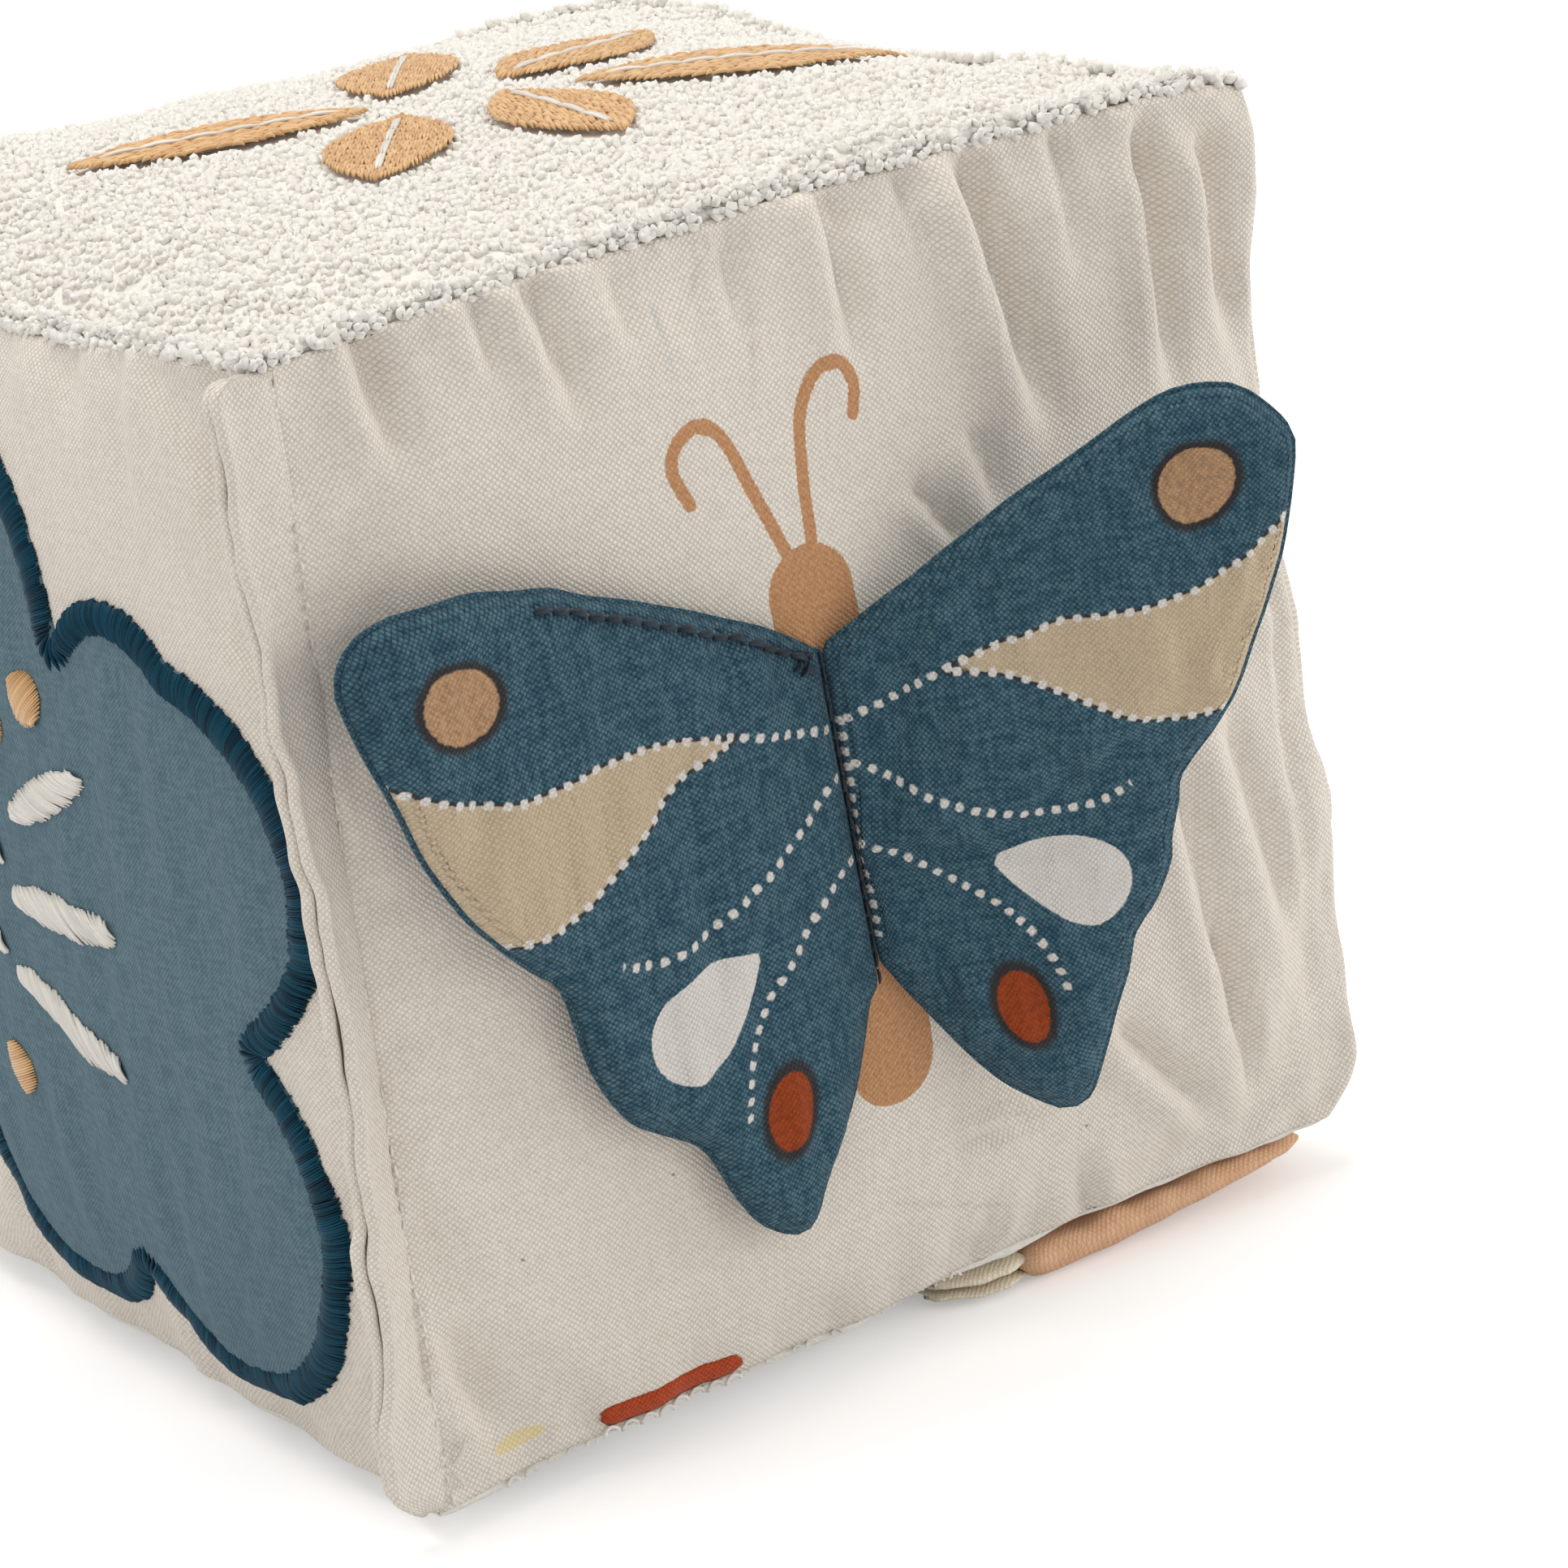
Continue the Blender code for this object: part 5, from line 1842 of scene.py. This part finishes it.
WEDGE_TOP = tenths(
    (145, 52), (183, 40), (225, 28), (270, 20), (315, 18), (360, 21), (400, 23), (435, 20), (470, 11), (505, -2),
    (535, -16), (570, -36), (620, -69))
WEDGE_FOOT = tenths(
    (145, 52), (190, 58), (225, 69), (256, 86), (287, 106), (317, 127), (350, 150), (390, 171), (430, 181),
    (470, 182), (520, 179))
VEINS = {
    "vein_1": (*tenths((8, 94), (50, 83), (83, 73), (120, 62)), *WEDGE_TOP[:-1], *tenths((605, -59))),
    "vein_2": (*tenths((155, 54)), *WEDGE_FOOT[1:-1], *tenths((510, 180))),
    "vein_3": tenths(
        (8, 148), (35, 160), (75, 182), (115, 208), (160, 230), (210, 250), (260, 263), (310, 265), (355, 250)),
    "vein_4": tenths(
        (8, 252), (42, 266), (80, 290), (123, 328), (163, 363), (195, 403), (218, 448), (232, 500)),
    "spine": tenths(
        (8, 85), (8, 385))}
WING_SEAM = (-0.0057, -0.07635, 0.0950)
SEAM_TILT = math.radians(3.7)


@dataclass
class Wing:
    """One padded wing: printed front cloth, plain back cloth, batting and crinkle film."""

    name: str
    side: int
    reach: float
    drop: float
    flare: float
    eye_turn: float
    pattern: tuple[Point, ...]
    root: float = 0.0004
    thickness: float = 0.0040
    cell: float = 0.00115
    edge_round: float = 0.0050
    cloth: float = 0.0005
    root_bottom: float = 0.630
    pad_inset: float = 0.0022
    clear_of_batting: float = 0.0014
    print_reach: float = 0.0610
    print_drop: float = 0.0667
    wedge_top: tuple[Point, ...] = WEDGE_TOP
    wedge_foot: tuple[Point, ...] = WEDGE_FOOT
    veins: dict[str, tuple[Point, ...]] = field(default_factory=lambda: VEINS)
    drop_outline: tuple[Point, ...] = (
        (0.0170, 0.0309), (0.0217, 0.0295), (0.0263, 0.0298), (0.0304, 0.0316), (0.0330, 0.0345),
        (0.0333, 0.0380), (0.0316, 0.0410), (0.0284, 0.0426), (0.0250, 0.0412), (0.0220, 0.0384),
        (0.0188, 0.0344))
    run: Simulation = field(default_factory=lambda: Simulation(pressure=3.0, slack=0.05, cap=0.0016,
                                                               stiffness=8.0, bending=0.05))

    @property
    def hinge(self) -> Matrix:
        """From the wing's flat frame (out from the seam, forwards, down it) to the block's."""
        return (Matrix.Translation(WING_SEAM) @ Matrix.Rotation(-SEAM_TILT, 4, "Y")
                @ Matrix.Rotation(-self.side * math.radians(self.flare), 4, "Z"))

    def place(self, flat: Vector, height: float) -> Vector:
        """A point over the wing's flat pattern.

        Args:
            flat: out from the seam and down it.
            height: towards the viewer.

        Returns:
            The point in the block's frame.
        """
        return self.hinge @ Vector((self.side * flat.x, -height, -flat.y))

    def outline(self, grow: float = 0.0) -> list[Vector]:
        """The wing's outline, from the top of its root round to the bottom of it.

        Args:
            grow: how far the outline is let out, or drawn in where it is negative.

        Returns:
            The closed outline.
        """
        shaped = [(out / 1000, down / 1000) for out, down in self.pattern]
        line = smooth_line([(self.root, 0.0), *shaped, (self.root, self.drop * self.root_bottom)], 6)
        for index, point in enumerate(line[1:-1], 1):
            ahead = turning(line, index, 2, False)
            ragged = rough(point.x / 0.007, point.y / 0.007, self.side * 4.0)
            line[index] = point + Vector((ahead.y, -ahead.x)) * 0.0003 * ragged * ease(point.x / 0.006)
        if not grow:
            return line
        grown = []
        for index, point in enumerate(line):
            ahead = turning(line, index, 2, False)
            moved = point + Vector((ahead.y, -ahead.x)) * grow * ease(point.x / 0.004)
            moved.x = max(moved.x, self.root - 1.4 * min(grow, 0))
            grown.append(moved)
        return grown

    def dome(self, inset: float) -> float:
        """How much of its full height a layer has, at a distance in from its outline."""
        share = min(1.0, max(0.0, inset) / self.edge_round)
        return math.sqrt(max(0.0, 1 - (1 - share) ** 2))

    def print_on(self, bm: BMesh, flat: np.ndarray) -> None:
        """Stores where the print's lines and shapes run."""
        for name, points in self.veins.items():
            write_line(bm, name, flat, points, printed=name != "spine" or self.side > 0)
        wedge = smooth_line(self.wedge_top, 5) + [Vector((0.080, -0.016)), Vector((0.080, 0.022))]
        wedge += list(reversed(smooth_line(self.wedge_foot, 5)))[:-1]
        drop = smooth_ring(self.drop_outline, 5)
        rim = [Vector((point.x * self.print_reach / self.reach, point.y * self.print_drop / self.drop))
               for point in self.outline()]
        fills = np.stack([outline_distance(flat, shape) for shape in (wedge, drop, rim)], axis=1)
        write_attribute(bm, "fills", fills)

    def stuffing(self, out: float, inset: float) -> float:
        """How much the batting rises, at a distance out from the seam and in from the wing's outline."""
        rise = (self.thickness - 0.0030) * self.dome(inset - self.pad_inset)
        return rise * (ease(out / 0.012) * 0.6 + 0.3)

    def front(self) -> BMesh:
        """The printed front cloth, filled out from its edge, wrinkled, and never under the batting."""
        outline = self.outline()
        bm = cut_sheet(outline, self.cell)
        flats = np.array([vert.co[:2] for vert in bm.verts])
        inset = outline_distance(flats, outline)
        rise = self.thickness - 0.0012
        heights = [0.0002 + rise * self.dome(gap) * (ease(flat[0] / 0.012) * 0.65 + 0.35)
                   for flat, gap in zip(flats, inset)]
        if self.side > 0:
            bmesh.ops.reverse_faces(bm, faces=list(bm.faces))
        for vert, flat, height in zip(bm.verts, flats, heights):
            vert.co = self.place(Vector(flat), height)
        out = self.hinge.to_3x3() @ Vector((0, -1, 0))
        face_towards(bm, out)
        bm.verts.index_update()
        held = [vert.index for vert in bm.verts if vert.is_boundary]
        for vert, move, flat, gap, height in zip(bm.verts, self.run.fill(bm, held), flats, inset, heights):
            wrinkle = 0.00150 * rough(flat[0] / 0.0044, flat[1] / 0.0150, self.side)
            wrinkle += 0.00030 * rough(flat[0] / 0.0018, flat[1] / 0.0050, self.side + 4)
            wrinkle += (0.0006 * rough(flat[0] / 0.0030, flat[1] / 0.0030, 3 * self.side)
                        * math.exp(-max(gap, 0) / 0.003))
            lift = move.dot(out) + wrinkle * ease(gap / 0.0025)
            if gap > self.pad_inset / 2:
                lift = max(lift, self.clear_of_batting + self.stuffing(flat[0], gap) - height)
            vert.co += move - out * move.dot(out) + out * lift
        printed = flats * (self.print_reach / self.reach, self.print_drop / self.drop)
        uv = {vert: tuple(flat) for vert, flat in zip(bm.verts, printed)}
        write_flat(bm, lambda vert: uv[vert])
        self.print_on(bm, printed)
        return bm

    def back(self) -> BMesh:
        """The plain back cloth, a little larger than the front."""
        bm = cut_sheet(self.outline(0.0005), self.cell * 2)
        flats = {vert: vert.co.xy.copy() for vert in bm.verts}
        for vert, flat in flats.items():
            wave = 0.00012 * rough(flat.x / 0.008, flat.y / 0.008, 9)
            vert.co = self.place(flat, -0.00055 + wave)
        write_flat(bm, lambda vert: tuple(flats[vert]))
        face_towards(bm, self.hinge.to_3x3() @ Vector((0, 1, 0)))
        return bm

    def layer(self, shrink: float, height: float, crinkle: float, grain: float) -> BMesh:
        """A thin layer inside the wing, with its own unevenness."""
        outline = self.outline(-shrink)
        bm = cut_sheet(outline, self.cell * 2)
        for vert in bm.verts:
            flat = vert.co.xy.copy()
            rise = height + crinkle * rough(flat.x / grain, flat.y / grain, 2)
            vert.co = self.place(flat, rise)
        return bm

    def topstitch(self, surface: Surface) -> None:
        """The closing stitches along the wing's top edge, ending in a small loose knot."""
        draw = random.Random(21)
        line = smooth_line([(0.0020, -0.0012), *((out / 1000, down / 1000) for out, down in self.pattern[:7])], 6)
        inner = []
        for index, point in enumerate(line):
            ahead = turning(line, index, 2, False)
            inner.append(point + Vector((-ahead.y, ahead.x)) * 0.0018)
        path = resample([point.to_3d() for point in inner], 0.0024)
        out = self.hinge.to_3x3() @ Vector((0, -1, 0))
        places = []

        def seat(flat: Vector) -> tuple[Vector, Vector]:
            """The front cloth's point over a flat place."""
            return surface.seat(self.place(flat, 0.02), -out)

        for start, end in zip(path, path[1:]):
            a, up = seat(start.xy)
            b, _ = seat(end.xy + Vector((0, draw.uniform(-0.0002, 0.0002))))
            places.append(frame_matrix((a + b) / 2 + up * 0.0004, b - a, up,
                                       Vector(((b - a).length * 0.82, 0.00105, 0.0011))))
        for _ in range(7):
            spot = path[0].xy + Vector((draw.uniform(-0.0006, 0.0016), draw.uniform(-0.0006, 0.0014)))
            a, up = seat(spot)
            turn = draw.uniform(0, math.tau)
            ahead = (self.place(spot + Vector((math.cos(turn), math.sin(turn))) * 0.001, 0)
                     - self.place(spot, 0))
            places.append(frame_matrix(a + up * draw.uniform(0.0002, 0.0006), ahead, up,
                                       Vector((draw.uniform(0.0014, 0.0022), 0.0004, 0.0009))))
        lay(f"wing_{self.name}_topstitch", stitch_template(arch=0.6), places, draw, BLUE_THREAD.material(), "wing_blue",
            f"wing_{self.name}")

    def build(self) -> None:
        """Makes the wing's layers, and the left wing's stitches."""
        body = f"wing_{self.name}"
        ink = WingPrint(f"wing_{self.name}_print", eye_turn=self.eye_turn, **WING_BLUE)
        shape = self.front()
        surface = Surface([shape])
        front = publish(f"wing_{self.name}_front_cloth", shape, ink.material(), "wing_blue", body,
                        [f"wing_{self.name}_front"])
        refine(front)
        thicken(front, self.cloth)
        back = publish(f"wing_{self.name}_back_cloth", self.back(), WING_BACK.material(), "wing_blue", body,
                       [f"wing_{self.name}_back"])
        thicken(back, self.cloth)
        size, area = flat_size(self.outline(0.0005))
        film = publish(f"wing_{self.name}_crinkle_film", self.layer(0.0020, 0.0002, 0.00015, 0.003),
                       FILM.material(), "film", body, [f"wing_{self.name}_film"])
        thicken(film, 0.0001)
        self.pad(body)
        if self.side < 0:
            self.topstitch(surface)

    def pad(self, body: str) -> None:
        """The batting between the film and the front cloth."""
        outline = self.outline(-self.pad_inset)
        bm = cut_sheet(outline, self.cell * 2)
        flats = [vert.co.xy.copy() for vert in bm.verts]
        inset = outline_distance(np.array([flat[:] for flat in flats]), outline)
        count = len(flats)
        made = bmesh.ops.extrude_face_region(bm, geom=list(bm.faces))
        upper = of_kind(made, BMVert)
        tree = {(round(vert.co.x, 7), round(vert.co.y, 7)): vert for vert in upper}
        lower = [vert for vert in bm.verts if vert not in set(upper)]
        for vert, flat, gap in zip(lower[:count], flats, inset):
            top = tree[(round(flat.x, 7), round(flat.y, 7))]
            fluff = 0.0002 * rough(flat.x / 0.003, flat.y / 0.003, 5)
            top.co = self.place(flat, 0.00055 + self.stuffing(flat.x, gap + self.pad_inset) + fluff)
            vert.co = self.place(flat, 0.0004)
        bmesh.ops.recalc_face_normals(bm, faces=list(bm.faces))
        made = publish(f"wing_{self.name}_padding", bm, FIBRE.material(), "fibre", body,
                       [f"wing_{self.name}_batting"])


@dataclass
class WingSeam:
    """The sewn line that both wings turn about, with its tight stitches."""

    length: float = 0.0420
    width: float = 0.0018
    depth: float = 0.0008

    def build(self) -> None:
        """Makes the seam and its stitches."""
        turn = Matrix.Translation(WING_SEAM) @ Matrix.Rotation(-SEAM_TILT, 4, "Y")
        bm = bmesh.new()
        bmesh.ops.create_cube(bm, size=1)
        bmesh.ops.subdivide_edges(bm, edges=[edge for edge in bm.edges if abs((edge.verts[0].co
                                  - edge.verts[1].co).z) > 0.5], cuts=30)
        bmesh.ops.scale(bm, verts=list(bm.verts), vec=(self.width, self.depth, self.length))
        for vert in bm.verts:
            vert.co.x *= 1 + 0.12 * rough(vert.co.z / 0.002, vert.co.x * 900, 0)
        bmesh.ops.translate(bm, verts=list(bm.verts), vec=(0, 0.0007, -self.length / 2))
        bmesh.ops.transform(bm, verts=list(bm.verts), matrix=turn)
        bmesh.ops.recalc_face_normals(bm, faces=list(bm.faces))
        write_flat(bm, lambda vert: (vert.co.x, vert.co.z))
        made = publish("wing_seam_tape", bm, WING_BACK.material(), "wing_blue", nodes=["wing_seam"])
        refine(made)
        draw = random.Random(2)
        places = []
        for index in range(19):
            place = turn @ Vector((draw.uniform(-0.0001, 0.0001), -0.0001, -0.0012 - index * 0.0023))
            places.append(frame_matrix(place, Vector((0.05, 0, -1)), Vector((0, -1, 0)),
                                       Vector((0.0019, 0.0005, 0.0005))))
        lay("wing_seam_stitches", stitch_template(), places, draw, BLUE_THREAD.material(), "wing_blue")


# --- Under the block ---


@dataclass
class BasePieces:
    """What is sewn into the front bottom seam: a padded piece, a folded cloth, a strip and thread loops."""

    cover: Cover
    pad_outline: tuple[Point, ...] = ((0.27, -0.972), (0.60, -0.982), (0.90, -0.972), (0.955, -0.900), (0.90, -0.800),
                                      (0.66, -0.720), (0.36, -0.760))
    pad_lift: float = 0.0030
    strip: tuple[float, float, float, float] = (-0.04625, -0.02575, 0.0064, 0.0092)

    def room(self, x: float, y: float) -> float:
        """The height of the cover's underside over the floor."""
        return self.cover.point(Vector((x / HALF, y / HALF, -1))).z

    def pad(self) -> None:
        """The padded piece, which swells between the seam and the floor."""
        outline = smooth_line([*(Vector(point) * HALF for point in self.pad_outline),
                               Vector(self.pad_outline[0]) * HALF], 4)[:-1]
        bm = cut_sheet(outline, 0.0013)
        flats = [vert.co.xy.copy() for vert in bm.verts]
        inset = outline_distance(np.array([flat[:] for flat in flats]), outline)
        made = bmesh.ops.extrude_face_region(bm, geom=list(bm.faces))
        upper = set(of_kind(made, BMVert))
        gaps = {(round(flat.x, 7), round(flat.y, 7)): gap for flat, gap in zip(flats, inset)}
        for vert in bm.verts:
            gap = max(0.0, gaps[(round(vert.co.x, 7), round(vert.co.y, 7))])
            swell = math.sqrt(max(0.0, 1 - (1 - min(1.0, gap / 0.0035)) ** 2))
            crease = 0.0008 * rough(vert.co.x / 0.004, vert.co.y / 0.010, 3)
            top = max(0.0042, self.room(vert.co.x, vert.co.y) + 0.0006)
            lifted = self.pad_lift * ease((vert.co.x - 0.024) / 0.044)
            middle = 0.55 * top + 0.45 * lifted
            high = middle + (top - middle) * swell + crease * swell
            low = middle * (1 - swell) + (0.0002 + lifted) * swell - 0.3 * crease * swell
            vert.co.z = high if vert in upper else max(0.0001, low)
        write_flat(bm, lambda vert: (vert.co.x, vert.co.y))
        bmesh.ops.recalc_face_normals(bm, faces=list(bm.faces))
        made = publish("base_pad_cloth", bm, TAN_CLOTH.material(), "tan_cloth", nodes=["base_pad"])
        refine(made)

    def fold(self) -> None:
        """The folded cloth: three turns of one strip, laid over each other."""
        bm = bmesh.new()
        low, high = 0.115 * HALF, 0.295 * HALF
        front, back = -0.895 * HALF, -0.715 * HALF
        profile = [(front + 0.0006, 0.0050), (back, 0.0040), (back + 0.0005, 0.0034), (back, 0.0030),
                   (front + 0.0010, 0.0036), (front - 0.0012, 0.0030), (front + 0.0010, 0.0022),
                   (back + 0.0010, 0.0021), (back + 0.0018, 0.0015), (back + 0.0010, 0.0010),
                   (front + 0.0006, 0.0014), (front - 0.0010, 0.0008), (front + 0.0020, 0.0004)]
        line = smooth_line(profile, 3)
        verts = [bm.verts.new((low, point.x, point.y)) for point in line]
        edges = [bm.edges.new(pair) for pair in zip(verts, verts[1:])]
        steps = 10
        for _ in range(steps):
            made = bmesh.ops.extrude_edge_only(bm, edges=edges)
            bmesh.ops.translate(bm, verts=of_kind(made, BMVert), vec=((high - low) / steps, 0, 0))
            edges = of_kind(made, BMEdge)
        for vert in bm.verts:
            share = (vert.co.x - low) / (high - low)
            vert.co.y -= 0.0030 * math.sin(share * 2.6) + 0.0008 * share - 0.0008 * noise.noise(vert.co / 0.003)
            vert.co.z += 0.0003 * noise.noise(vert.co / 0.004) + 0.0006
        write_flat(bm, lambda vert: (vert.co.x, vert.co.y))
        bmesh.ops.recalc_face_normals(bm, faces=list(bm.faces))
        made = publish("base_fold_cloth", bm, BEIGE_CLOTH.material(), "beige_cloth", nodes=["base_fold"])
        thicken(made, 0.0004)

    def strip_cloth(self) -> None:
        """The narrow terracotta strip, seated on the front canvas."""
        left, right, low, high = self.strip
        surface = Surface([self.cover.shapes[Side.FRONT]])
        bm = bmesh.new()
        bmesh.ops.create_grid(bm, x_segments=28, y_segments=4, size=0.5)
        for vert in bm.verts:
            share = vert.co.x + 0.5
            x = left + (right - left) * share
            ends = min(1.0, min(share, 1 - share) * 14 + 0.35)
            z = (low + high) / 2 + vert.co.y * (high - low) * ends + 0.0002 * rough(x / 0.002, 0, 0)
            place, _ = surface.seat_front(x, z)
            lift = 0.0005 - 0.0004 * (abs(vert.co.y) * 2) ** 4
            vert.co = place + Vector((0, -lift, 0))
        face_towards(bm, Side.FRONT.outwards)
        made = publish("edge_strip_cloth", bm, TERRACOTTA.material(), "terracotta", nodes=["edge_strip"])
        thicken(made, 0.0004)

    def loops(self) -> None:
        """White thread loops that scallop the seam under the strip and, smaller, along the rest of it."""
        draw = random.Random(17)
        surface = Surface([self.cover.shapes[Side.FRONT]])
        places = []
        for index in range(8):
            x = self.strip[0] + 0.0010 + index * 0.0026
            place, _ = surface.seat_front(x, self.strip[2] + 0.0002)
            places.append(frame_matrix(place - Vector((0, 0.0003, 0.0)), Vector((1, 0, 0.02)),
                                       Vector((0, -0.15, -1)), Vector((0.0030, 0.0022, 0.0017))))
        x = -0.062
        while x < 0.006:
            x += draw.uniform(0.0018, 0.0042)
            if self.strip[0] - 0.001 < x < self.strip[1] + 0.001:
                continue
            place = self.cover.point(Vector((x / HALF, -1, -1)))
            places.append(frame_matrix(place + Vector((0, 0.0004, 0.0006)), Vector((1, 0, draw.uniform(-.2, .2))),
                                       Vector((0, -0.35, -1)), Vector((0.0022, 0.0018, 0.0013))
                                       * draw.uniform(0.7, 1.1)))
        lay("edge_loops", loop_template(0.13, 230, 7, 5), places, draw, WHITE_THREAD.material(), "white_satin")

    def build(self) -> None:
        """Makes the pieces under the front edge."""
        self.pad()
        self.fold()
        self.strip_cloth()
        self.loops()


# --- Inside ---


@dataclass
class Inside:
    """The fibre filling round the rattle, and the rattle's own parts."""

    cover: Cover
    voxel: float = 0.0035
    tuft: float = 0.0012
    slack: float = 0.0006
    under: float = 0.0019

    def tufts(self, node: str) -> None:
        """One handful of fibre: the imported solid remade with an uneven, tufted outside."""
        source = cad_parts[node]
        bm = bmesh.new()
        bm.from_mesh(source.data)
        bmesh.ops.remove_doubles(bm, verts=list(bm.verts), dist=0.00001)
        working = scratch_object(f"{node}_working", bm)
        bm.free()
        remesh = working.modifiers.new("Remesh", "REMESH")
        remesh.mode = "VOXEL"
        remesh.voxel_size = self.voxel
        made = evaluated(working)
        discard(working)
        made.normal_update()
        for vert, normal in [(vert, vert.normal.copy()) for vert in made.verts]:
            tangle = noise.noise(vert.co / 0.012) + 0.5 * noise.noise(vert.co / 0.005)
            vert.co -= normal * (self.slack + self.tuft * 0.5 * (1 + tangle) * 0.5)
        for side, panel in self.panels.items():
            out = side.outwards
            for vert in made.verts:
                place, _, _, _ = panel.tree.ray_cast(vert.co + out * 0.1, -out)
                if place is not None:
                    vert.co -= out * max(0.0, (vert.co - place).dot(out) + self.under)
        piece = publish(f"{node}_fibre", made, FIBRE.material(), "fibre", nodes=[node])

    def build(self) -> None:
        """Makes the filling and gives the rattle its plastics."""
        self.panels = {side: Surface([shape]) for side, shape in self.cover.shapes.items()}
        self.tufts("filling_lower")
        self.tufts("filling_upper")
        shell, bead = RATTLE.material(), BEAD.material()
        for name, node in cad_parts.items():
            if name.startswith("rattle_"):
                for slot in node.material_slots:
                    slot.material = bead if "bead" in name else shell


# --- The studio ---


@dataclass
class Studio:
    """A white floor under soft light, and the camera at the photograph's angle."""

    location: tuple[float, float, float] = (-0.32867, -0.57100, 0.27928)
    turn: tuple[float, float, float] = (71.106, 7.007, -34.949)
    lens: float = 120.951
    sensor: float = 36.0
    floor_size: float = 6.0
    floor_glow: float = 0.30
    sky: float = 0.60

    def camera(self) -> None:
        """Sets the camera."""
        data = bpy.data.cameras.new("camera")
        data.lens, data.sensor_width, data.sensor_fit = self.lens, self.sensor, "HORIZONTAL"
        data.clip_start = 0.01
        made = bpy.data.objects.new("camera", data)
        made.location = self.location
        made.rotation_euler = Euler([math.radians(value) for value in self.turn], "XYZ")
        link(made)
        bpy.context.scene.camera = made

    def lamp(self, name: str, place: Sequence[float], size: float, power: float, colour: Rgb) -> None:
        """Adds a square soft lamp that looks at the block."""
        data = bpy.data.lights.new(name, "AREA")
        data.shape, data.size, data.energy = "SQUARE", size, power
        data.color = linear(colour)[:3]
        made = bpy.data.objects.new(name, data)
        made.location = place
        made.rotation_euler = (CENTRE - Vector(place)).to_track_quat("-Z", "Y").to_euler()
        link(made)

    def floor(self) -> None:
        """A white floor that keeps the block's shadow and shows white to the camera."""
        bm = bmesh.new()
        bmesh.ops.create_grid(bm, x_segments=2, y_segments=2, size=self.floor_size / 2)
        mesh = bpy.data.meshes.new("floor")
        bm.to_mesh(mesh)
        bm.free()
        made = bpy.data.objects.new("floor", mesh)
        graph = Graph("floor_white")
        place = graph.node("TexCoord").outputs["Object"]
        graph.dress(Base_Color=graph.mix(graph.noise(place, 0.2), (248, 248, 249), (251, 251, 252)), Roughness=0.9,
                    Specular_IOR_Level=0.0)
        path = graph.node("LightPath")
        seen = graph.math("MAXIMUM", path.outputs["Is Camera Ray"],
                          graph.math("MAXIMUM", path.outputs["Is Glossy Ray"], path.outputs["Is Transmission Ray"]))
        graph.dress(Emission_Color=(1, 1, 1, 1), Emission_Strength=graph.math("MULTIPLY", seen, self.floor_glow))
        mesh.materials.append(graph.material)
        link(made)

    def world(self) -> None:
        """Soft light from all round, and white behind the floor."""
        world = bpy.data.worlds.new("studio")
        bpy.context.scene.world = world
        world.use_nodes = True
        tree = world.node_tree
        background = tree.nodes["Background"]
        background.inputs["Color"].default_value = (1.0, 0.985, 0.965, 1)
        path = tree.nodes.new("ShaderNodeLightPath")
        seen = tree.nodes.new("ShaderNodeMath")
        seen.operation = "MAXIMUM"
        tree.links.new(path.outputs["Is Camera Ray"], seen.inputs[0])
        tree.links.new(path.outputs["Is Transmission Ray"], seen.inputs[1])
        strength = tree.nodes.new("ShaderNodeMapRange")
        tree.links.new(seen.outputs[0], strength.inputs[0])
        strength.inputs[3].default_value = self.sky
        strength.inputs[4].default_value = 1.0
        tree.links.new(strength.outputs[0], background.inputs["Strength"])

    def build(self) -> None:
        """Sets up the whole studio."""
        self.camera()
        self.floor()
        self.world()
        self.lamp("key", (-0.08, 0.12, 1.00), 0.80, 6.0, (255, 251, 246))
        self.lamp("left_fill", (-1.15, 0.40, 0.55), 0.60, 1.4, (255, 252, 249))
        self.lamp("front_fill", (0.60, -1.15, 0.60), 0.60, 1.7, (255, 252, 249))
        self.lamp("low_fill", (1.15, -0.50, 0.22), 0.50, 4.2, (255, 252, 249))
        view = bpy.context.scene.view_settings
        view.view_transform = "Standard"


# --- All together ---


def main() -> None:
    """Builds every piece in order."""
    Studio().build()
    LOG.info("studio")
    cover = Cover()
    cover.build()
    LOG.info("cover")
    spray = TopSpray()
    Pile(Side.TOP, clear=spray.outlines()).build(cover)
    Pile(Side.BOTTOM, pitch=0.0023, height=0.0012, width=0.0019, rim_rows=(), margin=0.005, seed=31).build(cover)
    LOG.info("pile")
    spray.build(cover)
    CloudPatch().build(cover)
    LOG.info("embroidery")
    ClosingSeam(cover).build()
    LOG.info("closing seam")
    for wing in (Wing("left", -1, 0.0634, 0.0690, 2.0, 0.30, LEFT_PATTERN),
                 Wing("right", 1, 0.0588, 0.0645, 28.0, 0.65, RIGHT_PATTERN)):
        wing.build()
        LOG.info("wing %s", wing.name)
    WingSeam().build()
    BasePieces(cover).build()
    Inside(cover).build()
    LOG.info("base and inside")


if __name__ == "__main__":
    logging.basicConfig(level=logging.INFO, format="%(name)s: %(message)s")
    main()
